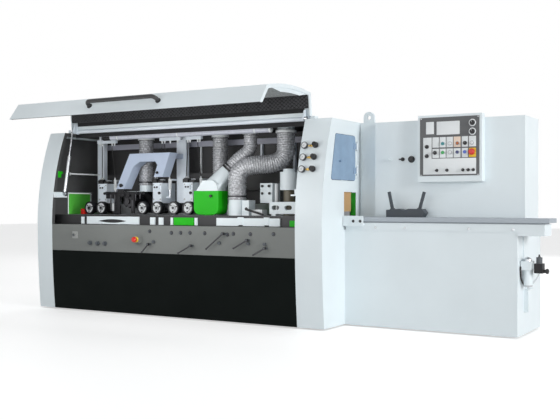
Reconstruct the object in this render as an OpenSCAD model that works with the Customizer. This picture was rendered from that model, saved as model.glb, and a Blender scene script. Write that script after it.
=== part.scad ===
// Four sided moulder: main body with an open hood, infeed table and cabinet.
// Machine frame while modelling: x from the left end face towards the infeed,
// y from the front bulge to the back, z up from the floor. place() centres it.

/* [Main body] */
// Length of the main body over its end panels
body_len = 3024; // [2900:1:3300]
// Depth of the main body from the front bulge
body_depth = 1180; // [1150:1:1400]
// Height of the end panels
body_h = 1650; // [1640:1:1750]
// Front width of the left end panel
left_w = 187; // [160:1:220]
// Front width of the right end panel
right_w = 238; // [220:1:280]
// Height at which the front bulges out furthest
bulge_z = 790; // [780:1:794]
// How far the front falls back at the floor
toe_in = 38; // [20:1:60]
// How far the front falls back at the top
top_in = 170; // [150:1:190]
// Thickness of the sheet covers
sheet = 4; // [3:0.5:5]
// Gap between the covers and the floor
floor_gap = 12; // [8:1:25]
// Height of the grey control strip
strip_h = 238; // [220:1:250]

/* [Bed and fence] */
// Height of the bed's top face
bed_top = 880; // [876:1:890]
// Thickness of the bed
bed_t = 85; // [80:1:90]
// Setback of the bed's front edge
bed_setback = 100; // [98:1:110]
// Depth of the bed
bed_w = 740; // [735:1:760]
// Setback of the guide fence's face
fence_y = 600; // [598:1:604]
// Height of the guide fence
fence_h = 98; // [60:1:100]

/* [Hood] */
// Setback of the hood's hinge axis
hinge_y = 285; // [280:1:290]
// Height of the hinge axis over the end panels
hinge_up = 14; // [12:1:18]
// Reach of the hood from its hinge to the lip's upper edge
hood_reach = 692; // [660:1:710]
// Height of the lip's upper edge over the hinge
hood_front_h = 194; // [185:1:205]
// Height of the crown's back corner over the hinge
hood_back_h = 207; // [195:1:220]
// How far the lip reaches out below its upper edge
lip_out = 103; // [80:1:110]
// Drop of the lip
lip_drop = 138; // [120:1:145]
// Rise of the crown over its chord
crown = 30; // [20:1:40]
// Depth of the folded rim at the hood's ends
rim_d = 30; // [20:1:36]
// Thickness of the hood's lining
lining_t = 24; // [15:1:30]
// Length of the hood's handle
handle_len = 722; // [500:1:900]
// Diameter of the handle's tube
handle_d = 34; // [28:1:40]
// Diameter of the pivot tube
pivot_d = 36; // [32:1:40]

/* [Feed] */
// Diameter of the feed rollers
roller_d = 120; // [110:1:122]
// Width of a feed roller
roller_w = 50; // [40:1:56]
// Setback of the rollers' front face
roller_y = 398; // [395:1:402]
// Number of teeth on a roller
roller_teeth = 36; // [24:1:48]
// Lift of a feed unit
feed_lift = 60; // [40:1:62]

/* [Spindles] */
// Cutting diameter of the heads
cutter_d = 125; // [110:1:128]
// Diameter of the spindles
spindle_d = 40; // [30:1:45]
// Running clearance of shafts in their bores
run_fit = 0.05; // [0.02:0.01:0.1]

/* [Infeed] */
// Length of the infeed base
infeed_len = 1386; // [1300:1:1500]
// Setback of the infeed base's front
infeed_y = 392; // [390:1:400]
// Depth of the infeed base
infeed_depth = 660; // [620:1:700]
// Height of the infeed base
infeed_h = 770; // [760:1:775]
// Overhang of the table beyond the base
table_over = 230; // [220:1:300]
// Thickness of the infeed table
table_t = 33; // [28:1:36]
// How far the table starts below the bed
table_drop = 8; // [6:1:9]
// Setback of the table's front edge
table_y = 370; // [366:1:374]
// Width of the table
table_w = 220; // [216:1:222]
// Height of the electrical cabinet's top
cabinet_top = 1635; // [1600:1:1660]
// Setback of the cabinet's front
cabinet_y = 594; // [593:1:600]
// Depth of the cabinet
cabinet_d = 386; // [340:1:420]
// Width of the control box
box_w = 511; // [505:1:530]
// Height of the control box
box_h = 516; // [510:1:530]

/* [Extraction] */
// Outer diameter of the extraction collars
collar_d = 125; // [120:1:128]
// Outer diameter of the near head's chute
chute_d = 104; // [96:1:108]
// Outer diameter of the suction pipe on the bed
suction_d = 145; // [138:1:150]
// Ribs of a hose for each 100 mm of its run
ribs_per_100 = 5; // [3:1:6]
// Height of a rib over the hose's wall
rib_h = 5; // [3:0.5:6]

/* [Hidden] */
$fn = 64;

// Colours
panel_white = [0.86, 0.90, 0.92];
dark_lining = [0.20, 0.19, 0.20];
strip_grey = [0.45, 0.47, 0.45];
near_black = [0.08, 0.09, 0.09];
cast_grey = [0.55, 0.57, 0.58];
pale_blue = [0.74, 0.80, 0.86];
guard_green = [0.16, 0.66, 0.12];
hose_grey = [0.62, 0.63, 0.66];
steel = [0.70, 0.71, 0.73];

// Levels and faces shared by several pieces
gap = 0.3;
hinge_z = body_h + hinge_up;
x_left = left_w;
x_right = body_len - right_w;
strip_z = bulge_z - strip_h;
upper_r = (top_in * top_in + pow(body_h - bulge_z, 2)) / (2 * top_in);
lower_r = (toe_in * toe_in + pow(bulge_z, 2)) / (2 * toe_in);
fine_fn = 720;
base_x0 = left_w + 13;
base_x1 = x_right - 6;
base_y0 = bed_setback + 10;
base_y1 = body_depth - 60;
base_z0 = 40;
bed_z = bed_top - bed_t;
bed_y1 = bed_setback + bed_w;
roller_z = bed_top + 1 + roller_d / 2;
table_top = bed_top - table_drop;
infeed_x1 = body_len + infeed_len;
table_x1 = infeed_x1 + table_over;
beam_y = 680;
beam_z0 = bed_top + 222;
beam_z1 = beam_z0 + rise(160);
wall_y = bed_y1 - 40;
roof_y = hinge_y + pivot_d / 2 + 12;

// Centre of the whole machine, so that the origin lies under its middle
handle_reach = 58;
lip_len = norm([lip_out, lip_drop]);
lip_normal = [-lip_drop, lip_out] / lip_len;
lip_top = [hinge_y - hood_reach, hinge_z + hood_front_h];
lip_low = lip_top - [lip_out, lip_drop];
lip_mid = (lip_top + lip_low) / 2;
handle_axis = lip_mid + handle_reach * lip_normal;
y_front = min(lip_low[0], handle_axis[0] - handle_d / 2);
x_mid = table_x1 / 2;
y_mid = (y_front + body_depth) / 2;

// Stations are laid out along a body 3024 long and spread with its length
function station(x) = x * body_len / 3024;
function stations(xs) = [for (x = xs) station(x)];
// Heights in the work space are laid out over 770 of head room
function rise(z) = z * (body_h - bed_top) / 770;
module place() translate([-x_mid, -y_mid, 0]) children();

// A solid of a side outline (y, z) between two x values
module along_x(x0, x1) translate([x0, 0, 0]) rotate([90, 0, 90]) linear_extrude(x1 - x0) children();
// A solid of a front outline (x, z) between two y values
module along_y(y0, y1) translate([0, y1, 0]) rotate([90, 0, 0]) linear_extrude(y1 - y0) children();
module block(p0, p1) translate(p0) cube(p1 - p0);
module rod_x(x0, x1, y, z, r) translate([x0, y, z]) rotate([0, 90, 0]) cylinder(r = r, h = x1 - x0);
module rod_y(x, y0, y1, z, r) translate([x, y0, z]) rotate([-90, 0, 0]) cylinder(r = r, h = y1 - y0);
module rod_z(x, y, z0, z1, r) translate([x, y, z0]) cylinder(r = r, h = z1 - z0);
// A round bar between two points
module bar(p0, p1, r) {
    d = p1 - p0;
    translate(p0)
        rotate([0, acos(d[2] / norm(d)), atan2(d[1], d[0])])
            cylinder(r = r, h = norm(d));
}
// A slot with round ends in the front plane
module oval_2d(cx, cz, w, h) {
    translate([cx - (w - h) / 2, cz]) circle(d = h);
    translate([cx + (w - h) / 2, cz]) circle(d = h);
    translate([cx - (w - h) / 2, cz - h / 2]) square([w - h, h]);
}

// The bowed front, seen from the side
function front_y(z) = z > bulge_z
    ? upper_r - sqrt(upper_r * upper_r - pow(z - bulge_z, 2))
    : lower_r - sqrt(lower_r * lower_r - pow(bulge_z - z, 2));
function front_tilt(z) = z > bulge_z ? asin((z - bulge_z) / upper_r) : 0;
module side_2d(inset, back, z0, z1) {
    intersection() {
        translate([upper_r, bulge_z]) circle(r = upper_r - inset, $fn = fine_fn);
        translate([0, bulge_z]) square([back, z1 - bulge_z]);
    }
    intersection() {
        translate([lower_r, bulge_z]) circle(r = lower_r - inset, $fn = fine_fn);
        translate([0, z0]) square([back, bulge_z - z0]);
    }
}
module front_sheet_2d(z0, z1, back) intersection() {
    difference() {
        side_2d(0, back, floor_gap, body_h);
        side_2d(sheet, back + 1, 0, body_h + 1);
    }
    translate([-1, z0]) square([back + 1, z1 - z0]);
}

// Base frame: welded tub with bulkheads, closed by the bed
base_wall = 20;
bulkheads = [for (k = [0.295, 0.678]) base_x0 + k * (base_x1 - base_x0)];
module base_frame() color(near_black) difference() {
    block([base_x0, base_y0, base_z0], [base_x1, base_y1, bed_z]);
    for (i = [0 : len(bulkheads)]) {
        x0 = i == 0 ? base_x0 + base_wall : bulkheads[i - 1] + base_wall;
        x1 = i == len(bulkheads) ? base_x1 - base_wall : bulkheads[i];
        block([x0, base_y0 + base_wall, base_z0 + base_wall], [x1, base_y1 - base_wall, bed_z + 1]);
    }
}

// Levelling feet under the base frame and the infeed base
foot_r = 50;
foot_t = 18;
foot_inset = 120;
stud_r = 12;
main_feet_x = [base_x0 + foot_inset, (base_x0 + base_x1) / 2, base_x1 - foot_inset];
main_feet_y = [base_y0 + foot_inset, base_y1 - foot_inset];
infeed_feet_x = [body_len + foot_inset, infeed_x1 - foot_inset];
infeed_feet_y = [infeed_y + foot_inset, infeed_y + infeed_depth - foot_inset];
module foot() {
    cylinder(r = foot_r, h = foot_t - 6);
    translate([0, 0, foot_t - 6]) cylinder(r1 = foot_r, r2 = foot_r * 0.6, h = 6);
    cylinder(r = stud_r, h = base_z0);
    translate([0, 0, foot_t]) cylinder(r = stud_r * 1.8, h = 10, $fn = 6);
}
module levelling_feet() color(steel) {
    for (x = main_feet_x, y = main_feet_y) translate([x, y, 0]) foot();
    for (x = infeed_feet_x, y = infeed_feet_y) translate([x, y, 0]) foot();
}

// End panels: folded sheet with a return flange towards the work space
flange_w = 35;
pin_r = 10;
pin_len = 42;
pillow_w = 60;
flap_y0 = 402;
flap_y1 = 695;
flap_z0 = bed_top - 30;
flap_hinge_z = bed_top + 193;
flap_hinge_x = 2 * sheet;
flap_rod_r = 3;
lug_z = bed_top + 170;
lift_foot = [130, lug_z + 25];
lift_x = 30;
module panel_shell(x0, x1, open_x0, open_x1) difference() {
    along_x(x0, x1) side_2d(0, body_depth, floor_gap, body_h);
    along_x(x0 + sheet, x1 - sheet) side_2d(sheet, body_depth + 1, 0, body_h - sheet);
    along_x(open_x0, open_x1) side_2d(flange_w, body_depth + 1, 0, body_h - flange_w);
}
// Bearing of the hood's pivot on an end panel's top
module pillow(x0, x1, pin_x0, pin_x1) {
    block([x0, hinge_y - pillow_w / 2, body_h], [x1, hinge_y + pillow_w / 2, hinge_z + pin_r + 8]);
    rod_x(pin_x0, pin_x1, hinge_y, hinge_z, pin_r);
}
// Foot bracket of a lift cylinder: a shelf on the flange with a pivot pin
lift_pin_r = 6;
module lift_lug(x0, x1, pin_x0, pin_x1) {
    block([x0, front_y(lug_z) + sheet, lug_z - 12], [x1, lift_foot[0] + 18, lug_z]);
    rod_x(pin_x0, pin_x1, lift_foot[0], lift_foot[1], lift_pin_r);
}
module left_end_panel() color(panel_white) {
    difference() {
        panel_shell(0, left_w, left_w - sheet - 1, left_w + 1);
        block([-1, flap_y0 - 3, flap_z0 - 4], [sheet + 1, flap_y1 + 3, flap_hinge_z + 9]);
    }
    for (y = [flap_y0 - 22, flap_y1 + 3])
        block([sheet, y, flap_hinge_z - 7], [flap_hinge_x + 5, y + 19, flap_hinge_z + 7]);
    rod_y(flap_hinge_x, flap_y0 - 10, flap_y1 + 10, flap_hinge_z, flap_rod_r);
    pillow(left_w - 38, left_w, left_w - 10, left_w + pin_len);
    lift_lug(left_w - sheet, left_w + lift_x + 18, left_w, left_w + lift_x + 14);
    block([left_w, front_y(lug_z) + sheet, lug_z], [left_w + 14, lift_foot[0] + 18, lift_foot[1] + 14]);
}
win_r = 22;
win_top = bed_top + rise(654);
win_low = bed_top + rise(284);
win_back = 580;
win_front_low = 150;
win_front_top = 222;
window_gap = 3;
win_hinge = [body_len + 12, win_back + 14];
win_hinge_zs = [win_low + 60, win_top - 110];
win_pin_r = 4;
win_knuckle = 50;
mouth_y0 = 378;
mouth_z1 = bed_top + rise(193);
finger_pivot_x = body_len - 22;
finger_pivot_z = mouth_z1 + 6;
finger_pivot_r = 6;
module window_2d(inset) hull() {
    for (p = [[win_front_top, win_top], [win_back, win_top], [win_back, win_low], [win_front_low, win_low]])
        translate([p[0] + (p[0] < win_back ? 1 : -1) * (win_r + inset),
                   p[1] + (p[1] < win_top ? 1 : -1) * (win_r + inset)]) circle(r = win_r, $fn = 32);
}
module right_end_panel() color(panel_white) {
    difference() {
        panel_shell(x_right, body_len, x_right - 1, x_right + sheet + 1);
        along_x(body_len - sheet - 1, body_len + 1) window_2d(0);
        block([body_len - sheet - 1, mouth_y0, bed_top - 14], [body_len + 1, fence_y + 2, mouth_z1]);
    }
    pillow(x_right, x_right + 38, x_right - pin_len, x_right + 10);
    lift_lug(x_right - lift_x - 18, x_right + sheet, x_right - lift_x - 14, x_right);
    block([x_right - 14, front_y(lug_z) + sheet, lug_z], [x_right, lift_foot[0] + 18, lift_foot[1] + 14]);
    // hinge pins of the side door
    for (z = win_hinge_zs) {
        rod_z(win_hinge[0], win_hinge[1], z - 2, z + win_knuckle + 2, win_pin_r);
        for (s = [z - 12, z + win_knuckle + gap])
            block([body_len, win_hinge[1] - 8, s], [win_hinge[0] + 8, win_hinge[1] + 8, s + 12 - gap]);
    }
    // pivot rod of the kickback fingers in two ears
    rod_y(finger_pivot_x, mouth_y0 - 6, fence_y - 2, finger_pivot_z, finger_pivot_r);
    for (y = [mouth_y0 - 16, fence_y - 12])
        block([finger_pivot_x - 10, y, finger_pivot_z - 10], [body_len - sheet, y + 10, finger_pivot_z + 10]);
}

// Dark lining of the work space: rear wall and left end
left_lining_t = 14;
wall_t = 20;
lining_top = body_h - flange_w - 1;
module chamber_lining() color(dark_lining) {
    block([sheet + left_lining_t + 1, wall_y, bed_top], [body_len - sheet - 1, wall_y + wall_t, lining_top]);
    difference() {
        along_x(sheet, sheet + left_lining_t) intersection() {
            side_2d(sheet + 1, wall_y + wall_t, floor_gap, body_h - sheet);
            translate([0, bed_top]) square([wall_y + wall_t, lining_top - bed_top]);
        }
        block([0, flap_y0 - 26, bed_top - 1], [sheet + left_lining_t + 1, flap_y1 + 26, flap_hinge_z + 20]);
    }
}

// Front covers between the end panels
cover_gap = 1;
module lower_front_panel() color(near_black) along_x(x_left + cover_gap, x_right - cover_gap) {
    front_sheet_2d(floor_gap, strip_z - cover_gap, base_y0);
    translate([front_y(base_z0) + sheet - 1, base_z0]) square([base_y0 - front_y(base_z0) - sheet + 1, sheet]);
}
module control_strip() color(strip_grey) along_x(x_left + cover_gap, x_right - cover_gap) {
    front_sheet_2d(strip_z, bulge_z, base_y0);
    translate([sheet - 1, bulge_z - sheet]) square([base_y0 - sheet + 1, sheet]);
}

// Bed with openings for the heads
bottom_x = station(2480);
bottom_z = bed_top - cutter_d / 2;
near_pos = [station(1805), 335];
fence_pos = [station(1590), fence_y + cutter_d / 2 - 2];
top_x = station(760);
top_z = bed_top + 58 + cutter_d / 2;
head_y0 = 400;
head_len = 200;
side_head_h = 118;
motor_r = 88;
motor_y0 = 640;
shaft_hole_r = spindle_d / 2 + 24;
module bed() color(cast_grey) difference() {
    block([sheet + 26, bed_setback, bed_z], [body_len - sheet - 26, bed_y1, bed_top]);
    block([bottom_x - cutter_d / 2 - 12, head_y0 - 26, bed_z - 1],
          [bottom_x + cutter_d / 2 + 12, motor_y0 - 26, bed_top + 1]);
    block([bottom_x - motor_r - 12, motor_y0 - 28, bed_z - 1],
          [bottom_x + motor_r + 12, bed_y1 + 1, bed_top + 1]);
    rod_z(near_pos[0], near_pos[1], bed_z - 1, bed_top + 1, shaft_hole_r);
    rod_z(fence_pos[0], fence_pos[1], bed_z - 1, bed_top + 1, shaft_hole_r);
}

// Plates, rails and clips along the bed's front edge
edge_t = 14;
edge_y = bed_setback - edge_t;
edge_z0 = bulge_z + 6;
edge_z1 = bed_top - 20;
rail_spans = [for (s = [[1985, 2200], [2248, 2452], [2498, 2600]]) stations(s)];
clip_spans = [for (s = [[2200, 2248], [2452, 2498]]) stations(s)];
post_spans = [for (s = [[470, 500], [1280, 1330], [1375, 1420], [1505, 1530], [1760, 1785]]) stations(s)];
lens_span = stations([540, 1150]);
lens_r = 900;
lens_mid = (lens_span[0] + lens_span[1]) / 2;
module edge_block(span, z0, z1, t) block([span[0], bed_setback - t, z0], [span[1], bed_setback, z1]);
module bed_edge_plates() color(panel_white) {
    for (s = rail_spans) edge_block(s, edge_z0, edge_z1, edge_t);
    for (s = clip_spans) edge_block(s, edge_z0 + 8, edge_z1 + 8, edge_t + 6);
    for (s = post_spans) edge_block(s, edge_z0, edge_z1, edge_t);
    difference() {
        edge_block(lens_span, edge_z0, edge_z1 + 4, edge_t);
        // long lens-shaped window in the left plate
        along_y(edge_y - 1, bed_setback + 1) intersection() {
            translate([lens_mid, edge_z0 + 12 + lens_r]) circle(r = lens_r, $fn = fine_fn);
            translate([lens_mid, edge_z0 + 44 - lens_r]) circle(r = lens_r, $fn = fine_fn);
        }
    }
}

// Guide fence behind the work, with a gap for the fence-side head
fence_t = 30;
module fence() color(steel) difference() {
    union() {
        block([60, fence_y, bed_top], [fence_pos[0] - 76, fence_y + fence_t, bed_top + fence_h]);
        block([fence_pos[0] + 162, fence_y, bed_top], [body_len - 60, fence_y + fence_t, bed_top + fence_h]);
    }
    // relief for the top head's shaft
    rod_y(top_x, fence_y - 1, fence_y + fence_t + 1, top_z, spindle_d / 2 + 22);
}

// Rear casing: back wall and roof in one folded sheet, open to the hood
top_collar = [station(850), 560, collar_d / 2];
fence_collar = [station(1667), 606, collar_d / 2];
chute_collar = [station(2090), 450, chute_d / 2];
suction_collar = [station(2415), 500, suction_d / 2];
collars = [top_collar, fence_collar, chute_collar, suction_collar];
collar_top = body_h + 60;
hose_top = body_h - 40;
module rear_casing() color(panel_white) difference() {
    union() {
        block([sheet, body_depth - sheet, floor_gap], [body_len - sheet, body_depth, body_h - flange_w]);
        block([left_w, body_depth - sheet, floor_gap], [x_right, body_depth, body_h]);
        block([left_w, roof_y, body_h - sheet], [x_right, body_depth, body_h]);
        block([left_w, roof_y, body_h - 40], [x_right, roof_y + sheet, body_h - sheet]);
    }
    for (p = collars) rod_z(p[0], p[1], body_h - sheet - 1, body_h + 1, p[2] + gap);
}

// Overhead frame: posts, feed beam, rail, lamp tube, air manifold, cylinder barrels
post_y = fence_y + fence_t + 2;
posts = [for (s = [[172, 256], [1154, 1262], [2640, 2720]]) stations(s)];
lamp_r = 22;
lamp_y = roof_y + sheet + lamp_r + 4;
lamp_z = body_h - 40;
lamp_x = stations([514, 2266]);
manifold_y = 470;
manifold_x = [for (s = [[330, 560], [1090, 1330], [1390, 1560]]) stations(s)];
rail_z0 = body_h - 135;
unit_x = stations([351, 1015, 1372]);
block_shift = 35;
block_w = 100;
cyl_off = 82;
cyl_r = 17;
cyl_rod_r = 7;
cyl_y = 560;
cyl_z0 = bed_top + 230;
cyl_z1 = cyl_z0 + feed_lift + 40;
yoke_z = cyl_z0 - feed_lift - 3;
module barrel(x) {
    difference() {
        rod_z(x, cyl_y, cyl_z0, cyl_z1, cyl_r);
        rod_z(x, cyl_y, cyl_z0 - 1, cyl_z0 + feed_lift + 22, cyl_rod_r + run_fit);
    }
    block([x - 14, cyl_y, cyl_z1 - 14], [x + 14, beam_y, cyl_z1]);
}
module overhead_frame() color(pale_blue) {
    for (p = posts) block([p[0], post_y, bed_top], [p[1], beam_y, lining_top]);
    block([left_w - 40, beam_y, beam_z0], [x_right + 60, wall_y, beam_z1]);
    block([left_w - 40, wall_y - 50, rail_z0], [x_right + 60, wall_y, rail_z0 + 50]);
    for (x = stations([1480, 1990, 2330])) block([x, wall_y - 30, beam_z1], [x + 18, wall_y, rail_z0]);
    rod_x(lamp_x[0], lamp_x[1], lamp_y, lamp_z, lamp_r);
    for (x = [lamp_x[0] + 60, (lamp_x[0] + lamp_x[1]) / 2, lamp_x[1] - 60])
        block([x - 15, lamp_y - 10, lamp_z + lamp_r - 2], [x + 15, lamp_y + 10, body_h - sheet]);
    for (m = manifold_x) {
        block([m[0], manifold_y - 15, body_h - 92], [m[1], manifold_y + 15, body_h - 62]);
        for (x = [m[0] + 20, m[1] - 40])
            block([x, manifold_y - 8, body_h - 62], [x + 20, manifold_y + 8, body_h - sheet]);
    }
    for (u = unit_x, s = [-1, 1]) barrel(u + block_shift + s * cyl_off);
}

// Motors that carry the spindles
motor_len = 150;
motor_fin = 4;
flange_t = 16;
module motor(bore_len) difference() {
    union() {
        cylinder(r = motor_r, h = motor_len);
        translate([0, 0, -22]) cylinder(r = spindle_d / 2 + 14, h = 23);
        for (a = [0 : 30 : 330]) rotate([0, 0, a]) translate([motor_r - 2, -2, 8])
            cube([motor_fin + 2, 4, motor_len - 16]);
    }
    translate([0, 0, -23]) cylinder(r = spindle_d / 2 + run_fit, h = bore_len);
}
bore_len = 120;
module upright_motor(p) {
    translate([p[0], p[1], bed_z - flange_t]) rotate([180, 0, 0]) motor(bore_len);
    difference() {
        rod_z(p[0], p[1], bed_z - flange_t, bed_z, motor_r + 22);
        rod_z(p[0], p[1], bed_z - flange_t - 1, bed_z + 1, spindle_d / 2 + 15);
    }
}
module spindle_motors() color(near_black) {
    upright_motor(near_pos);
    upright_motor(fence_pos);
    // bottom head's motor hangs from the bed's underside
    translate([bottom_x, motor_y0, bottom_z]) rotate([-90, 0, 0]) motor(bore_len);
    for (s = [-1, 1])
        block([bottom_x + s * (motor_r + 25) - 25, motor_y0 + 20, bed_z - 30],
              [bottom_x + s * (motor_r + 25) + 25, motor_y0 + 120, bed_z]);
    for (s = [-1, 1])
        block([bottom_x + s * (motor_r - 1) - 12, motor_y0 + 20, bed_z - 30],
              [bottom_x + s * (motor_r - 1) + 12, motor_y0 + 120, bed_z - 5]);
    // top head's motor hangs from the feed beam
    translate([top_x, motor_y0, top_z]) rotate([-90, 0, 0]) motor(bore_len);
    block([top_x - 60, beam_y + 10, top_z + 60], [top_x + 60, beam_y + 100, beam_z0]);
}

// Spindle with a cutter head: four gullets with knives
head_r = cutter_d / 2 - 6;
knife_w = 4;
module cutter_2d() {
    difference() {
        circle(r = head_r);
        for (a = [0 : 90 : 270]) rotate(a) translate([head_r - 6, 12]) circle(r = 14);
    }
    for (a = [0 : 90 : 270]) rotate(a) translate([head_r - 24, -knife_w]) square([30 - gap, knife_w]);
}
// Built from the head's free end (z = 0) towards the motor
module spindle(head, neck, tail) color(steel) {
    linear_extrude(head) cutter_2d();
    translate([0, 0, -14]) cylinder(r = spindle_d / 2 + 8, h = 14, $fn = 6);
    translate([0, 0, head]) cylinder(r = spindle_d / 2, h = neck + tail);
    translate([0, 0, head]) cylinder(r = spindle_d / 2 + 8, h = min(12, neck - 2));
}
bore_in = 90;
module lying_spindle(x, z) translate([x, head_y0, z]) rotate([-90, 0, 0])
    spindle(head_len, motor_y0 - 22 - head_y0 - head_len, bore_in);
module standing_spindle(p) translate([p[0], p[1], bed_top + 4 + side_head_h]) rotate([180, 0, 0])
    spindle(side_head_h, 4 + bed_t + flange_t - 22 + gap, bore_in);
module bottom_spindle() lying_spindle(bottom_x, bottom_z);
module top_spindle() lying_spindle(top_x, top_z);
module near_spindle() standing_spindle(near_pos);
module fence_spindle() standing_spindle(fence_pos);

// Feed units and rollers
roller_x = stations([276, 426, 930, 1100, 1290, 1453]);
roller_shaft_r = 15;
case_y0 = 470;
case_y1 = 540;
case_r = 46;
module feed_unit(i) color(pale_blue) {
    xs = [roller_x[2 * i], roller_x[2 * i + 1]];
    bx = unit_x[i] + block_shift;
    difference() {
        union() {
            for (x = xs) rod_y(x, case_y0, case_y1, roller_z, case_r);
            block([xs[0], case_y0, roller_z - case_r], [xs[1], case_y1, roller_z + case_r]);
        }
        for (x = xs) rod_y(x, case_y0 - 1, case_y1 + 1, roller_z, roller_shaft_r + run_fit);
    }
    // riser casting that slides on the feed beam
    block([bx - block_w / 2, case_y0, roller_z + case_r], [bx + block_w / 2, case_y1, beam_z0 + 70]);
    block([bx - block_w / 2, case_y1, bed_top + fence_h + 7], [bx + block_w / 2, beam_y - gap, beam_z0 + 70]);
    block([bx - block_w / 2 + 20, case_y0 - 14, beam_z0 + 10], [bx + block_w / 2 - 20, case_y0, beam_z0 + 50]);
    // yoke with the rods of the two air cylinders, clear of the barrels at full lift
    for (s = [-1, 1]) {
        block([bx + min(s * block_w / 2, s * (cyl_off + 14)), cyl_y - 14, yoke_z - 16],
              [bx + max(s * block_w / 2, s * (cyl_off + 14)), cyl_y + 14, yoke_z]);
        rod_z(bx + s * cyl_off, cyl_y, yoke_z, cyl_z0 + 18, cyl_rod_r);
    }
}
tooth_h = 4;
module roller_2d() union() {
    circle(r = roller_d / 2 - tooth_h);
    for (i = [0 : roller_teeth - 1]) rotate(i * 360 / roller_teeth)
        translate([roller_d / 2 - tooth_h - 0.5, 0])
            polygon([[0, -tooth_h * 0.9], [tooth_h + 0.5, -0.8], [tooth_h + 0.5, 0.8], [0, tooth_h * 0.9]]);
}
module feed_roller(i) color(steel) translate([roller_x[i], roller_y, roller_z]) rotate([-90, 0, 0]) {
    difference() {
        linear_extrude(roller_w) roller_2d();
        translate([0, 0, -1]) difference() {
            cylinder(r = roller_d / 2 - 14, h = 7);
            cylinder(r = 24, h = 7);
        }
    }
    translate([0, 0, -6]) cylinder(r = 12, h = 7, $fn = 6);
    cylinder(r = roller_shaft_r, h = case_y1 - roller_y + 14);
    translate([0, 0, case_y1 - roller_y + gap]) cylinder(r = roller_shaft_r + 7, h = 10);
}

// Arch-shaped sheet hood over the top head
arch_y = 360;
arch_d = 110;
arch_top = bed_top + rise(562);
// corners of the arch: station and drop below its top
arch_corners = [[816, 0], [1286, 0], [1200, 218], [1100, 218], [1142, 110], [1116, 76], [935, 76], [860, 120],
                [745, 325], [651, 325]];
module arch_2d() polygon([for (c = arch_corners) [station(c[0]), arch_top - rise(c[1])]]);
module arch_hood() color(pale_blue) {
    difference() {
        along_y(arch_y, arch_y + arch_d) arch_2d();
        along_y(arch_y + sheet, arch_y + arch_d + 1) offset(delta = -sheet) arch_2d();
    }
    block([posts[1][0] + 15, arch_y + arch_d - 20, arch_top - 44], [posts[1][0] + 75, post_y, arch_top - 1]);
}

// Green guards: hood of the near-side head and the fence guard at the infeed
near_w = 256;
near_y0 = 190;
near_y1 = 330;
near_top = bed_top + 208;
module near_2d(inset) {
    r = 56;
    x0 = near_pos[0] - near_w / 2 + inset;
    w = near_w - 2 * inset;
    z0 = bed_top + 6 + inset;
    translate([x0, z0 + r]) square([w, near_top - inset - z0 - r]);
    translate([x0 + r, z0]) square([w - 2 * r, r + 1]);
    for (s = [x0 + r, x0 + w - r]) translate([s, z0 + r]) circle(r = r);
}
module green_guards() color(guard_green) {
    difference() {
        along_y(near_y0, near_y1) near_2d(0);
        along_y(near_y0 + sheet, near_y1 + 1) near_2d(sheet);
        block([near_pos[0] - cutter_d / 2 - 8, near_pos[1] - cutter_d / 2 - 8, bed_top - 1],
              [near_pos[0] + cutter_d / 2 + 8, near_y1 + 1, bed_top + 30]);
    }
    block([near_pos[0] - 40, near_y0 + 20, bed_top], [near_pos[0] + 40, near_y0 + 50, bed_top + 8]);
    block([x_right + 40, fence_y + fence_t, bed_top], [body_len - sheet, fence_y + fence_t + 8, mouth_z1]);
    edge_block(stations([1540, 1750]), edge_z0, edge_z1, edge_t);
    edge_block(stations([2690, 2760]), edge_z0, edge_z1 - 16, edge_t);
}

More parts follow.
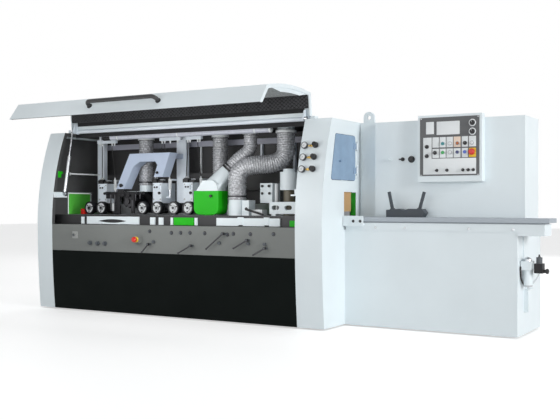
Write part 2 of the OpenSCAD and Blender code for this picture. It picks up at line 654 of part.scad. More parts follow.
// Extraction pipes: roof collars, chute of the near head, suction pipe, stubs
pipe_r = collar_d / 2;
pipe_wall = 3;
hose_wall = 2;
chute_r = chute_d / 2;
chute_foot = [near_pos[0] - 15, 270, near_top + 12];
chute_head = [near_pos[0] + 125, 345, near_top + 182];
chute_slack = 220;
suction = [station(2065), 280, suction_d / 2];
suction_slack = 750;
suction_top = bed_top + 132;
boot_z = bed_top + fence_h + 50;
fence_stub_top = bed_top + 250;
top_stub_z = top_z + motor_r + motor_fin;
top_stub_top = top_stub_z + 60;
module tube_z(x, y, z0, z1, r) difference() {
    rod_z(x, y, z0, z1, r);
    rod_z(x, y, z0 - 1, z1 + 1, r - pipe_wall);
}
module extraction_pipes() color(panel_white) {
    for (p = collars) {
        tube_z(p[0], p[1], hose_top, collar_top, p[2]);
        difference() {
            rod_z(p[0], p[1], body_h, body_h + 5, p[2] + 20);
            rod_z(p[0], p[1], body_h - 1, body_h + 6, p[2] - 1);
        }
    }
    // chute: tapered box on the green hood with a slanted pipe
    difference() {
        union() {
            along_y(near_y0 + 6, near_y1 - 6) polygon([
                [near_pos[0] - 108, near_top], [near_pos[0] + 116, near_top],
                [near_pos[0] + 104, near_top + 60],
                [near_pos[0] + 60, near_top + 90], [near_pos[0] - 40, near_top + 90]
            ]);
            bar(chute_foot, chute_head, chute_r);
        }
        block([near_pos[0] - near_w, near_y0 - 20, near_top - 2 * chute_r],
              [near_pos[0] + near_w, near_y1 + 60, near_top]);
        bar(chute_foot + 0.45 * (chute_head - chute_foot), chute_head + 0.1 * (chute_head - chute_foot),
            chute_r - pipe_wall);
    }
    // suction pipe on the bed
    tube_z(suction[0], suction[1], bed_top, suction_top, suction[2]);
    block([suction[0] + suction[2] + 2, suction[1] - 40, bed_top],
          [suction[0] + suction[2] + 70, suction[1] + 60, suction_top - 4]);
    // boot over the fence-side head
    difference() {
        union() {
            block([fence_pos[0] - 72, fence_y + 6, bed_top], [fence_pos[0] + 156, fence_y + 132, boot_z]);
            block([fence_pos[0] - 20, fence_collar[1] - 70, boot_z - 20],
                  [fence_pos[0] + 156, fence_y + 40, boot_z]);
            rod_z(fence_collar[0], fence_collar[1], boot_z, fence_stub_top, pipe_r);
        }
        block([fence_pos[0] - 68, fence_y + 5, bed_top - 1], [fence_pos[0] + 152, fence_y + 128, boot_z - 8]);
        rod_z(fence_collar[0], fence_collar[1], boot_z + 4, fence_stub_top + 1, pipe_r - pipe_wall);
    }
    // stub over the top head, carried on its motor
    block([top_x - 70, top_collar[1] - 85, top_stub_z], [top_collar[0] + 75, motor_y0 + 40, top_stub_z + 5]);
    tube_z(top_collar[0], top_collar[1], top_stub_z + 5, top_stub_top, pipe_r);
}

// Ribbed hoses: straight ends joined by one cubic curve
up = [0, 0, 1];
chute_dir = unit(chute_head - chute_foot);
sides = 8;
function unit(v) = v / norm(v);
function blend(a, ta, b, tb, t) = (2 * t * t * t - 3 * t * t + 1) * a + (t * t * t - 2 * t * t + t) * ta
    + (3 * t * t - 2 * t * t * t) * b + (t * t * t - t * t) * tb;
function blend_dir(a, ta, b, tb, t) = unit((6 * t * t - 6 * t) * a + (3 * t * t - 4 * t + 1) * ta
    + (6 * t - 6 * t * t) * b + (3 * t * t - 2 * t) * tb);
function ring_points(c, dir, r, ref) =
    let (u = unit(cross(ref, dir)), v = cross(dir, u))
        [for (s = [0 : sides - 1]) c + r * (cos(s * 360 / sides) * u + sin(s * 360 / sides) * v)];
function nxt(s) = (s + 1) % sides;
// From p0 along d0 to p1 along d1, on pipes of radius r; ref stands across the route
module hose(p0, d0, p1, d1, r, slack, ref) {
    wall_r = r + hose_wall;
    lead = 2 * (wall_r + rib_h);
    a = p0 + lead * d0;
    b = p1 - lead * d1;
    n_end = max(2, round(lead * ribs_per_100 / 100));
    n_mid = max(2, round(norm(b - a) * ribs_per_100 / 100));
    // one row for each ring: its centre and direction
    rows = concat(
        [for (k = [0 : 2 * n_end - 1]) [p0 + d0 * lead * k / (2 * n_end), d0]],
        [for (k = [0 : 2 * n_mid - 1]) let (t = k / (2 * n_mid))
            [blend(a, slack * d0, b, slack * d1, t), blend_dir(a, slack * d0, b, slack * d1, t)]],
        [for (k = [0 : 2 * n_end]) [b + d1 * lead * k / (2 * n_end), d1]]);
    n = len(rows);
    m = (n + 1) / 2;
    // every second ring is a rib; the bore keeps the rings between them
    outer_pts = [for (i = [0 : n - 1]) each ring_points(rows[i][0], rows[i][1], wall_r + (i % 2) * rib_h, ref)];
    inner_pts = [for (i = [0 : 2 : n - 1]) each ring_points(rows[i][0], rows[i][1], r - pipe_wall, ref)];
    base = n * sides;
    o = (n - 1) * sides;
    q = base + (m - 1) * sides;
    skin = [for (i = [0 : n - 2], s = [0 : sides - 1])
        each [[i * sides + s, (i + 1) * sides + nxt(s), i * sides + nxt(s)],
              [i * sides + s, (i + 1) * sides + s, (i + 1) * sides + nxt(s)]]];
    bore = [for (i = [0 : m - 2], s = [0 : sides - 1])
        each [[base + i * sides + s, base + i * sides + nxt(s), base + (i + 1) * sides + nxt(s)],
              [base + i * sides + s, base + (i + 1) * sides + nxt(s), base + (i + 1) * sides + s]]];
    first = [for (s = [0 : sides - 1])
        each [[s, base + nxt(s), base + s], [s, nxt(s), base + nxt(s)]]];
    last = [for (s = [0 : sides - 1])
        each [[o + s, q + nxt(s), o + nxt(s)], [o + s, q + s, q + nxt(s)]]];
    polyhedron(points = concat(outer_pts, inner_pts), faces = concat(skin, bore, first, last));
}
function above(p, z) = [p[0], p[1], z];
module extraction_hoses() color(hose_grey) {
    hose(above(top_collar, top_stub_top), up, above(top_collar, hose_top), up, top_collar[2], 100, [1, 0, 0]);
    hose(above(fence_collar, fence_stub_top), up, above(fence_collar, hose_top), up, fence_collar[2], 100,
         [1, 0, 0]);
    hose(above(suction, suction_top), up, above(suction_collar, hose_top), up, suction[2], suction_slack,
         unit(cross(up, suction_collar - suction)));
    hose(chute_head, chute_dir, above(chute_collar, hose_top), up, chute_r, chute_slack,
         unit(cross(up, above(chute_collar, 0) - above(chute_head, 0))));
}

// Infeed base with the apron that guides the table
apron_y0 = table_y + 15;
apron_y1 = table_y + table_w;
apron_x0 = body_len + 10;
apron_x1 = table_x1 - 36;
apron_top = table_top - table_t - 10;
apron_wall = 12;
over_z = infeed_h - 25;
module infeed_base() color(panel_white) {
    difference() {
        block([body_len, infeed_y, floor_gap], [infeed_x1, infeed_y + infeed_depth, infeed_h]);
        block([body_len + sheet, infeed_y + sheet, 0],
              [infeed_x1 - sheet, infeed_y + infeed_depth - sheet, infeed_h - sheet]);
    }
    block([body_len + sheet, infeed_y + sheet, base_z0],
          [infeed_x1 - sheet, infeed_y + infeed_depth - sheet, base_z0 + 2 * sheet]);
    difference() {
        union() {
            block([apron_x0, apron_y0, infeed_h], [apron_x1, apron_y1, apron_top]);
            block([infeed_x1, apron_y0, over_z], [apron_x1, apron_y1, infeed_h]);
        }
        block([apron_x0 + apron_wall, apron_y0 + apron_wall, over_z - 1],
              [apron_x1 - apron_wall, apron_y1 - apron_wall, apron_top + 1]);
    }
    // bolted end block in front of the table
    block([body_len + 4, apron_y0 - 32, infeed_h + 30], [body_len + 176, apron_y0, apron_top]);
    block([body_len + 4, apron_y0 - 32, apron_top], [body_len + 176, table_y - 2, table_top + 10]);
}
module infeed_table() color(steel) {
    block([body_len + 6, table_y, table_top - table_t], [table_x1, apron_y1, table_top]);
    difference() {
        block([apron_x0 + apron_wall + gap, apron_y0 + apron_wall + gap, infeed_h + 20],
              [apron_x1 - apron_wall - gap, apron_y1 - apron_wall - gap, table_top - table_t]);
        block([apron_x0 + 3 * apron_wall, apron_y0 + 2 * apron_wall, infeed_h + 19],
              [apron_x1 - 3 * apron_wall, apron_y1 - 2 * apron_wall, table_top - table_t]);
    }
}
// Dark bracket with two upright lever arms on the table
bracket_x = body_len + 320;
bracket_w = 300;
bracket_y = table_y + 110;
bracket_h = 66;
arm_t = 22;
arm_len = 150;
module lever_arm(x, tilt) translate([x, bracket_y + 40, table_top + bracket_h - 12]) rotate([0, tilt, 0]) {
    translate([-arm_t / 2, -8, 0]) cube([arm_t, 16, arm_len]);
    rotate([90, 0, 0]) translate([0, 0, -14]) cylinder(r = 20, h = 28);
}
module lever_bracket() color(dark_lining) {
    along_y(bracket_y, bracket_y + 80) polygon([
        [bracket_x, table_top], [bracket_x + bracket_w, table_top],
        [bracket_x + bracket_w + 24, table_top + 34], [bracket_x + bracket_w, table_top + bracket_h],
        [bracket_x + bracket_w * 0.62, table_top + bracket_h],
        [bracket_x + bracket_w * 0.5, table_top + bracket_h - 12],
        [bracket_x + bracket_w * 0.38, table_top + bracket_h], [bracket_x, table_top + bracket_h - 8]
    ]);
    lever_arm(bracket_x + 40, -12);
    lever_arm(bracket_x + bracket_w - 36, 16);
}

// Electrical cabinet with the lifting post beside it
cabinet_x0 = body_len + 174;
eye_r = 18;
lug_r = 48;
lug_t = 25;
post_x0 = body_len + 6;
post_x1 = body_len + 142;
eye = [(post_x0 + post_x1) / 2, 688, cabinet_top + 55];
module electrical_cabinet() color(panel_white) {
    difference() {
        block([cabinet_x0, cabinet_y, infeed_h], [infeed_x1, cabinet_y + cabinet_d, cabinet_top]);
        block([cabinet_x0 + sheet, cabinet_y + sheet, infeed_h - 1],
              [infeed_x1 - sheet, cabinet_y + cabinet_d - sheet, cabinet_top - sheet]);
        for (x = [box_x0 + 30, box_x0 + box_w - 60])
            block([x, cabinet_y - 1, box_z0 + 40], [x + 30, cabinet_y + sheet + 1, box_z0 + 70]);
    }
    block([post_x0, eye[1] - 18, infeed_h], [post_x1, eye[1] + lug_t + 18, cabinet_top + 10]);
    difference() {
        union() {
            rod_y(eye[0], eye[1], eye[1] + lug_t, eye[2], lug_r);
            block([eye[0] - lug_r, eye[1], cabinet_top + 10], [eye[0] + lug_r, eye[1] + lug_t, eye[2]]);
        }
        rod_y(eye[0], eye[1] - 1, eye[1] + lug_t + 1, eye[2], eye_r);
    }
    // two key switches and a main switch knob on the front
    for (x = [cabinet_x0 + 130, cabinet_x0 + 242]) {
        rod_y(x, cabinet_y - 12, cabinet_y, bed_top + 452, 15);
        rod_y(x, cabinet_y - 30, cabinet_y - 12, bed_top + 452, 7);
        block([x - 22, cabinet_y - 34, bed_top + 446], [x + 6, cabinet_y - 24, bed_top + 456]);
    }
    rod_y(cabinet_x0 + 316, cabinet_y - 26, cabinet_y, bed_top + 450, 20);
}

// Control box with its fascia
box_x0 = body_len + 570;
box_z0 = bed_top + 267;
box_d = 70;
box_y = cabinet_y - box_d;
fascia_t = 4;
fascia_y = box_y - fascia_t;
fascia_m = 19;
fascia_low = 46;
// Columns from the box's left edge and rows from its lower edge
panel_cols = [77, 143, 207, 263, 323, 382, 436];
row_1 = 292;
row_2 = 224;
low_row = 88;
dial_rows = [444, 378];
key_r = 13;
stem_r = 6;
key_travel = 5;
stop_r = 24;
keys = [[panel_cols[2], row_1], [panel_cols[2], row_2], [panel_cols[4], row_2], [panel_cols[5], row_2]];
stop_at = [panel_cols[6], row_2];
lamps = [[panel_cols[3], row_1], [panel_cols[4], row_1], [panel_cols[6], row_1], [panel_cols[3], row_2]];
selectors = [[panel_cols[0], 272], [panel_cols[0], 200], [panel_cols[1], row_2], [panel_cols[5], row_1]];
low_selectors = [158, 240, 366, 407, 447];
function panel_x(c) = box_x0 + c[0];
function panel_z(c) = box_z0 + c[1];
module control_box() color(panel_white) difference() {
    block([box_x0, box_y, box_z0], [box_x0 + box_w, cabinet_y, box_z0 + box_h]);
    block([box_x0 + sheet, box_y + sheet, box_z0 + sheet],
          [box_x0 + box_w - sheet, cabinet_y + 1, box_z0 + box_h - sheet]);
    for (k = concat(keys, [stop_at])) rod_y(panel_x(k), box_y - 1, box_y + sheet + 1, panel_z(k), stem_r + 3);
}
module key_collar(k, r) difference() {
    rod_y(panel_x(k), fascia_y - 8, fascia_y, panel_z(k), r + 4);
    rod_y(panel_x(k), fascia_y - 9, fascia_y + 1, panel_z(k), r + gap);
}
module selector(c, r) {
    rod_y(panel_x(c), fascia_y - 6, fascia_y, panel_z(c), r + 3);
    rod_y(panel_x(c), fascia_y - 20, fascia_y - 6, panel_z(c), r);
    block([panel_x(c) - 3, fascia_y - 26, panel_z(c) - r], [panel_x(c) + 3, fascia_y - 20, panel_z(c) + r]);
}
module control_fascia() color(strip_grey) {
    difference() {
        block([box_x0 + fascia_m, fascia_y, box_z0 + fascia_low],
              [box_x0 + box_w - fascia_m, box_y, box_z0 + box_h - fascia_m]);
        for (k = concat(keys, [stop_at]))
            rod_y(panel_x(k), fascia_y - 1, box_y + 1, panel_z(k), stem_r + run_fit);
        block([box_x0 + 158, fascia_y - 1, box_z0 + 360], [box_x0 + 338, fascia_y + 2, box_z0 + 466]);
    }
    for (k = keys) key_collar(k, key_r);
    for (c = lamps) rod_y(panel_x(c), fascia_y - 9, fascia_y, panel_z(c), key_r);
    for (c = selectors) selector(c, 12);
    for (x = low_selectors) selector([x, low_row], 9);
    for (z = dial_rows) selector([panel_cols[6] + 3, z], 16);
}
module key_button(k) {
    rod_y(panel_x(k), fascia_y - 14, fascia_y - key_travel - 1, panel_z(k), key_r);
    rod_y(panel_x(k), fascia_y - key_travel - 1, box_y + sheet + 14, panel_z(k), stem_r);
}
module green_button() color(guard_green) key_button(keys[1]);
module teal_button() color([0.1, 0.45, 0.5]) key_button(keys[0]);
module navy_button() color([0.1, 0.12, 0.35]) key_button(keys[2]);
module blue_button() color([0.25, 0.3, 0.6]) key_button(keys[3]);
module mushroom(x, z, y_seat, neck, stem_end) color([0.8, 0.1, 0.05]) {
    translate([x, y_seat - neck, z]) rotate([90, 0, 0]) {
        cylinder(r = stop_r, h = 8);
        translate([0, 0, 8]) cylinder(r1 = stop_r, r2 = stop_r * 0.7, h = 10);
    }
    rod_y(x, y_seat - neck, stem_end, z, stem_r);
}
module panel_stop_button()
    mushroom(panel_x(stop_at), panel_z(stop_at), fascia_y, key_travel + 3, box_y + sheet + 14);

// Controls on the grey strip
function at_strip(z, r = 10) = front_y(z + r) - gap;
function on_strip(v) = [for (a = v) [station(a[0]), a[1], a[2]]];
adjusters = on_strip([[1347, -49], [1582, -58], [1680, -56], [1777, -55], [1928, -56], [2154, -63], [2213, -55],
                      [2376, -56], [2593, -52]]);
strip_knobs = on_strip([[1393, -137], [2077, -133], [2359, -131], [2514, -134]]);
strip_dials = on_strip([[663, -163], [754, -166], [839, -165]]);
strip_switch = [station(479), -94];
levers = on_strip([[1352, -160, 229], [1804, -162, 208], [2128, -56, 219], [2361, -105, 209],
                   [2528, -165, 209]]);
lever_lens = [92, 136, 201, 137, 113];
lever_r = 12;
lever_pin_r = 6;
lever_y0 = 24;
lever_y1 = 42;
estop_x = station(1230);
estop_z = bulge_z - 121;
estop_w = 62;
estop_d = 40;
estop_y = at_strip(estop_z, estop_w / 2);
module strip_controls() color(near_black) {
    for (a = adjusters) {
        z = bulge_z + a[1];
        rod_y(a[0], at_strip(z) - 6, at_strip(z), z, 9);
        translate([a[0], at_strip(z) - 6, z]) rotate([90, 45, 0]) cylinder(r = 8, h = 14, $fn = 4);
    }
    for (k = strip_knobs) {
        z = bulge_z + k[1];
        rod_y(k[0], at_strip(z, 13) - 18, at_strip(z, 13), z, 13);
    }
    for (k = strip_dials) {
        z = bulge_z + k[1];
        rod_y(k[0], at_strip(z, 20) - 12, at_strip(z, 20), z, 20);
        rod_y(k[0], at_strip(z, 20) - 26, at_strip(z, 20) - 12, z, 13);
    }
    z = bulge_z + strip_switch[1];
    block([strip_switch[0] - 32, at_strip(z, 32) - 5, z - 32], [strip_switch[0] + 32, at_strip(z, 32), z + 32]);
    rod_y(strip_switch[0], at_strip(z, 32) - 24, at_strip(z, 32) - 5, z, 13);
    for (l = levers) {
        lz = bulge_z + l[1];
        rod_y(l[0], -lever_y1 - 2, at_strip(lz), lz, lever_pin_r);
        rod_y(l[0], -lever_y0 + gap, at_strip(lz), lz, 10);
    }
    difference() {
        block([estop_x - estop_w / 2, estop_y - estop_d, estop_z - estop_w / 2],
              [estop_x + estop_w / 2, estop_y, estop_z + estop_w / 2]);
        rod_y(estop_x, estop_y - estop_d - 1, estop_y - 4, estop_z, stem_r + run_fit);
    }
}
module strip_stop_button() mushroom(estop_x, estop_z, estop_y - estop_d, 26, estop_y - 14);
// Clamp lever: hub on its pin, a round arm with a ball end
module clamp_lever(i) color(dark_lining) {
    l = levers[i];
    a = l[2];
    y = -(lever_y0 + lever_y1) / 2;
    translate([l[0], 0, bulge_z + l[1]]) {
        difference() {
            union() {
                translate([0, -lever_y0, 0]) rotate([90, 0, 0]) cylinder(r = lever_r, h = lever_y1 - lever_y0);
                bar([0, y, 0], [lever_lens[i] * cos(a), y - 10, lever_lens[i] * sin(a)], 6);
                translate([lever_lens[i] * cos(a), y - 10, lever_lens[i] * sin(a)]) sphere(r = 8);
            }
            translate([0, 1, 0]) rotate([90, 0, 0]) cylinder(r = lever_pin_r + run_fit, h = lever_y1 + 3);
        }
    }
}

// Pressure gauges with their regulators on the right end panel
gauge_rows = [body_h - 221, body_h - 314, body_h - 407];
gauge_x = x_right + 46;
regulator_x = x_right + 142;
module on_front(x, z) translate([x, front_y(z) - 0.1, z]) rotate([-front_tilt(z), 0, 0])
    rotate([90, 0, 0]) children();
module pressure_gauges() color(near_black) for (z = gauge_rows) {
    on_front(gauge_x, z) {
        cylinder(r = 9, h = 10);
        translate([0, 0, 10]) cylinder(r = 27, h = 18);
    }
    on_front(gauge_x + 50, z) {
        cylinder(r = 9, h = 16);
        translate([0, 0, 8]) rotate([0, 90, 0]) cylinder(r = 7, h = 38, center = true, $fn = 6);
    }
    on_front(regulator_x, z) {
        cylinder(r = 17, h = 14);
        translate([0, 0, 14]) cylinder(r = 24, h = 12);
        translate([0, 0, 26]) cylinder(r1 = 21, r2 = 19, h = 22);
    }
}

// Air service unit on the infeed end
unit_y = infeed_y + 58;
unit_z = 385;
module air_service_unit() color(panel_white) {
    block([infeed_x1, unit_y + 90, unit_z + 40], [infeed_x1 + 6, unit_y + 250, over_z]);
    block([infeed_x1 + 6, unit_y, unit_z + 110], [infeed_x1 + 84, unit_y + 120, unit_z + 175]);
    rod_z(infeed_x1 + 46, unit_y + 52, unit_z, unit_z + 110, 38);
    rod_z(infeed_x1 + 46, unit_y + 52, unit_z + 175, unit_z + 196, 24);
    block([infeed_x1 + 84, unit_y + 20, unit_z + 120], [infeed_x1 + 100, unit_y + 70, unit_z + 160]);
    block([infeed_x1 + 100, unit_y + 10, unit_z + 90], [infeed_x1 + 160, unit_y + 80, unit_z + 160]);
    rod_z(infeed_x1 + 130, unit_y + 45, unit_z + 160, unit_z + 205, 22);
    rod_x(infeed_x1 + 160, infeed_x1 + 178, unit_y + 45, unit_z + 105, 13);
    block([infeed_x1, unit_y + 110, 180], [infeed_x1 + 34, unit_y + 260, 345]);
}

// Side guide, feed motor and press block at the infeed end of the work space
guide_x = stations([2408, 2770]);
guide_y = 240;
guide_h = 98;
guide_pitch = (guide_x[1] - guide_x[0]) / 3;
feed_motor = [station(2545), 330];
module infeed_side_guide() color(panel_white) {
    difference() {
        block([guide_x[0], guide_y, bed_top + 15], [guide_x[1], guide_y + 25, bed_top + 15 + guide_h]);
        along_y(guide_y - 1, guide_y + 26) for (i = [0 : 2])
            oval_2d(guide_x[0] + guide_pitch * (i + 0.48), bed_top + 15 + guide_h * 0.52,
                    guide_pitch * 0.57, 36);
    }
    for (x = [guide_x[0] + 20, guide_x[1] - 60])
        block([x, guide_y, bed_top], [x + 40, guide_y + 60, bed_top + 15]);
    rod_z(feed_motor[0], feed_motor[1], bed_top, bed_top + 210, 46);
    rod_z(feed_motor[0], feed_motor[1], bed_top + 210, bed_top + 360, 76);
    rod_z(feed_motor[0], feed_motor[1], bed_top + 360, bed_top + 385, 50);
    // press block on an arm from the feed beam
    block([station(2225), 390, bed_top + 105], [station(2345), 520, beam_z0 + 50]);
    block([station(2255), 520, beam_z0], [station(2315), beam_y, beam_z0 + 50]);
}

// Hood: skin of one thickness behind its outer outline
crown_chord = [hinge_y - 22, hinge_z + hood_back_h] - lip_top;
crown_r = (pow(norm(crown_chord) / 2, 2) + crown * crown) / (2 * crown);
crown_back = lip_top + crown_chord;
crown_mid = (lip_top + crown_back) / 2;
crown_c = crown_mid - (crown_r - crown) * [-crown_chord[1], crown_chord[0]] / norm(crown_chord);
back_foot = [hinge_y - 1, hinge_z + pivot_d / 2];
back_in = unit([back_foot[1] - crown_back[1], crown_back[0] - back_foot[0]]);
// the hood's outline seen from the end, shrunk by t and drawn down past its open foot by the given share
module hood_outline(t, past) intersection() {
    translate(crown_c) circle(r = crown_r - t, $fn = fine_fn);
    polygon([lip_low - t * lip_normal - past * (lip_top - lip_low),
             lip_low - t * lip_normal + 1.5 * (lip_top - lip_low),
             back_foot + t * back_in + 1.5 * (crown_back - back_foot),
             back_foot + t * back_in - past * (crown_back - back_foot)]);
}
module hood_2d(t) difference() {
    hood_outline(0, 0);
    hood_outline(t, 0.3);
}
hood_x0 = x_left + 2;
hood_x1 = x_right - 2;
module hood_shell() color(panel_white) {
    along_x(hood_x0, hood_x1) hood_2d(sheet);
    along_x(hood_x0, hood_x0 + 2 * sheet) hood_2d(rim_d);
    along_x(hood_x1 - 2 * sheet, hood_x1) hood_2d(rim_d);
}
unlined_h = 84;
module hood_lining() color(near_black) along_x(hood_x0 + 2 * sheet, hood_x1 - 2 * sheet) difference() {
    hood_2d(sheet + lining_t);
    hood_2d(sheet);
    translate([hinge_y - 150, hinge_z - 1]) square([300, unlined_h]);
}
// Bow handle on the lip: a bent tube on two feet
handle_x0 = station(1086);
handle_bend = 40;
lip_angle = atan2(lip_normal[1], -lip_normal[0]);
module handle_half(s) translate([s * handle_len / 2, 0, 0]) {
    cylinder(r = handle_d / 2, h = handle_reach - handle_bend);
    translate([-s * handle_bend, 0, handle_reach - handle_bend]) rotate([90, 0, 0])
        mirror([s < 0 ? 1 : 0, 0, 0])
            rotate_extrude(angle = 90) translate([handle_bend, 0]) circle(d = handle_d);
    cylinder(r = handle_d / 2 + 6, h = 8);
}
module hood_handle() color(near_black)
    translate([handle_x0 + handle_len / 2, lip_mid[0], lip_mid[1]]) rotate([90 - lip_angle, 0, 0]) {
        for (s = [-1, 1]) handle_half(s);
        rod_x(-handle_len / 2 + handle_bend, handle_len / 2 - handle_bend, 0, handle_reach, handle_d / 2);
    }
// Pivot tube with gussets; the gusset's nose is the crank of the lift cylinder
crank = 50;
gusset_t = 12;
gusset_x = [x_left + lift_x + 16, x_right - lift_x - 16 - gusset_t];
module gusset_2d() difference() {
    union() {
        circle(r = pivot_d / 2 + 6);
        translate([-crank, 0]) circle(r = 16);
        polygon([[-crank, -16], [0, -pivot_d / 2 - 6], [16, 0],
                 [back_foot[0] - hinge_y - sheet - 6, unlined_h - 10],
                 [-40, unlined_h - 16], [-crank - 8, 14]]);
    }
    circle(r = pivot_d / 2 - 1);
    // room for the hood's rear wall
    translate([-hinge_y, -hinge_z]) polygon([
        back_foot + (sheet + gap) * back_in - [0, gap], crown_back + (sheet + gap) * back_in,
        crown_back + [100, 0], back_foot + [100, -gap]
    ]);
}
module hood_pivot() color(pale_blue) {
    difference() {
        rod_x(hood_x0, hood_x1, hinge_y, hinge_z, pivot_d / 2);
        rod_x(hood_x0 - 1, hood_x0 + pin_len, hinge_y, hinge_z, pin_r + run_fit);
        rod_x(hood_x1 - pin_len, hood_x1 + 1, hinge_y, hinge_z, pin_r + run_fit);
    }
    for (x = gusset_x) along_x(x, x + gusset_t) translate([hinge_y, hinge_z]) gusset_2d();
}

// Lift cylinders: barrels on the end panels, rods up to the hood's cranks
lift_head = [hinge_y - crank, hinge_z];
lift_dir = unit(lift_head - lift_foot);
lift_len = norm(lift_head - lift_foot);
barrel_len = 360;
barrel_r = 18;
lift_rod_r = 8;
rod_in = 70;
lift_xs = [x_left + lift_x, x_right - lift_x];
module at_lift(x) translate([x, lift_foot[0], lift_foot[1]])
    rotate([-atan2(lift_dir[0], lift_dir[1]), 0, 0]) children();
module lift_barrels() color(near_black) for (x = lift_xs) at_lift(x) difference() {
    union() {
        rotate([0, 90, 0]) cylinder(r = 14, h = 24, center = true);
        cylinder(r = 10, h = 30);
        translate([0, 0, 22]) cylinder(r = barrel_r, h = barrel_len - 22);
    }
    rotate([0, 90, 0]) cylinder(r = lift_pin_r + run_fit, h = 40, center = true);
    translate([0, 0, barrel_len - rod_in - 75]) cylinder(r = lift_rod_r + run_fit, h = rod_in + 76);
}
module lift_rods() color(steel) for (x = lift_xs) at_lift(x) {
    translate([0, 0, barrel_len - rod_in]) cylinder(r = lift_rod_r, h = lift_len - barrel_len + rod_in - 10);
    translate([0, 0, lift_len]) rotate([0, 90, 0]) difference() {
        cylinder(r = 15, h = 20, center = true);
        cylinder(r = 6, h = 22, center = true);
    }
}

// Side door: tinted pane with straps round the hinge pins and a knob
pane_t = 8;
module window_door() color([0.45, 0.58, 0.72, 0.8]) {
    x0 = body_len - sheet;
    along_x(x0, x0 + pane_t) window_2d(window_gap);
    for (z = win_hinge_zs) difference() {
        union() {
            rod_z(win_hinge[0], win_hinge[1], z + gap, z + win_knuckle - gap, win_pin_r + 4);
            block([x0 + pane_t, win_back - 40, z + gap],
                  [x0 + pane_t + 4, win_hinge[1], z + win_knuckle - gap]);
        }
        rod_z(win_hinge[0], win_hinge[1], z - 1, z + win_knuckle + 1, win_pin_r + run_fit);
    }
    rod_x(x0 + pane_t, x0 + pane_t + 22, 286, (win_top + win_low) / 2 - 32, 9);
}

// Outfeed flap hanging on its rod in the left end panel
flap_t = 6;
module outfeed_flap() color(guard_green) difference() {
    union() {
        rod_y(flap_hinge_x, flap_y0, flap_y1, flap_hinge_z, flap_rod_r + 3);
        block([flap_hinge_x - flap_t / 2, flap_y0, flap_z0],
              [flap_hinge_x + flap_t / 2, flap_y1, flap_hinge_z]);
    }
    rod_y(flap_hinge_x, flap_y0 - 1, flap_y1 + 1, flap_hinge_z, flap_rod_r + run_fit);
}

// Kickback fingers in the infeed mouth, side by side on one rod
finger_n = 9;
finger_t = 14;
finger_pitch = 17;
finger_z0 = bed_top + 36;
module kickback_fingers() color([0.72, 0.55, 0.3]) for (i = [0 : finger_n - 1]) {
    y0 = mouth_y0 + 10 + i * finger_pitch;
    difference() {
        union() {
            rod_y(finger_pivot_x, y0, y0 + finger_t, finger_pivot_z, finger_pivot_r + 6);
            block([finger_pivot_x - 5, y0, finger_z0], [finger_pivot_x + 5, y0 + finger_t, finger_pivot_z]);
        }
        rod_y(finger_pivot_x, y0 - 1, y0 + finger_t + 1, finger_pivot_z, finger_pivot_r + run_fit);
    }
}

place() {
    base_frame();
    levelling_feet();
    left_end_panel();
    right_end_panel();
    chamber_lining();
    lower_front_panel();
    control_strip();
    bed();
    bed_edge_plates();
    fence();
    rear_casing();
    overhead_frame();
    spindle_motors();
    arch_hood();
    green_guards();
    extraction_pipes();
    extraction_hoses();
    infeed_base();
    electrical_cabinet();
    control_box();
    control_fascia();
    pressure_gauges();
    air_service_unit();
    infeed_side_guide();
    strip_controls();
    hood_shell();
    hood_lining();
    hood_handle();
    hood_pivot();
    lift_barrels();
    lift_rods();
    feed_unit(0);  // feed_unit_1
    feed_unit(1);  // feed_unit_2
    feed_unit(2);  // feed_unit_3
    feed_roller(0);  // feed_roller_1
    feed_roller(1);  // feed_roller_2
    feed_roller(2);  // feed_roller_3
    feed_roller(3);  // feed_roller_4
    feed_roller(4);  // feed_roller_5
    feed_roller(5);  // feed_roller_6
    bottom_spindle();
    near_spindle();
    fence_spindle();
    top_spindle();
    clamp_lever(0);  // clamp_lever_1
    clamp_lever(1);  // clamp_lever_2
    clamp_lever(2);  // clamp_lever_3
    clamp_lever(3);  // clamp_lever_4
    clamp_lever(4);  // clamp_lever_5
    infeed_table();
    lever_bracket();
    strip_stop_button();
    panel_stop_button();
    green_button();
    teal_button();
    navy_button();
    blue_button();
    window_door();
    outfeed_flap();
    kickback_fingers();
}
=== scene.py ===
"""Looks of a four sided moulder: materials for its solids and finer pieces around them."""

import math
import random

import bmesh
import bpy
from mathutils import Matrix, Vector


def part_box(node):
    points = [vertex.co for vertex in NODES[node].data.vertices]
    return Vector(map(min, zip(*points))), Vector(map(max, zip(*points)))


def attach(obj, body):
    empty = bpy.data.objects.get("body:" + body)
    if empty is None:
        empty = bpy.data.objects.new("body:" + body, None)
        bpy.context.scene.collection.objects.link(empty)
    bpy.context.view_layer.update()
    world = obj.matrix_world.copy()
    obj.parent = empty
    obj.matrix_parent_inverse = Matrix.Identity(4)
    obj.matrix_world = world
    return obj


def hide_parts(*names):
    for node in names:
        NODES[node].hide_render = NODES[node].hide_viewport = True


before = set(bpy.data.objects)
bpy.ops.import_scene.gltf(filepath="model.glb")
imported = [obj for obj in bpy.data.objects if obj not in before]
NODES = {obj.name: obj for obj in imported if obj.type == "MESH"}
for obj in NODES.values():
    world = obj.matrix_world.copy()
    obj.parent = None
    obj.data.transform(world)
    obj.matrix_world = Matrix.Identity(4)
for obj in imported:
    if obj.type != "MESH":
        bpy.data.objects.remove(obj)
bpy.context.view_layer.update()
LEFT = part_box("left_end_panel")[0].x
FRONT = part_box("control_strip")[0].y
X = Vector((1, 0, 0))
Y = Vector((0, 1, 0))
Z = Vector((0, 0, 1))


def at(x, y, z):
    """A machine point, in mm from the left face, the front bulge and the floor, as a scene point."""
    return Vector((LEFT + x / 1000, FRONT + y / 1000, z / 1000))


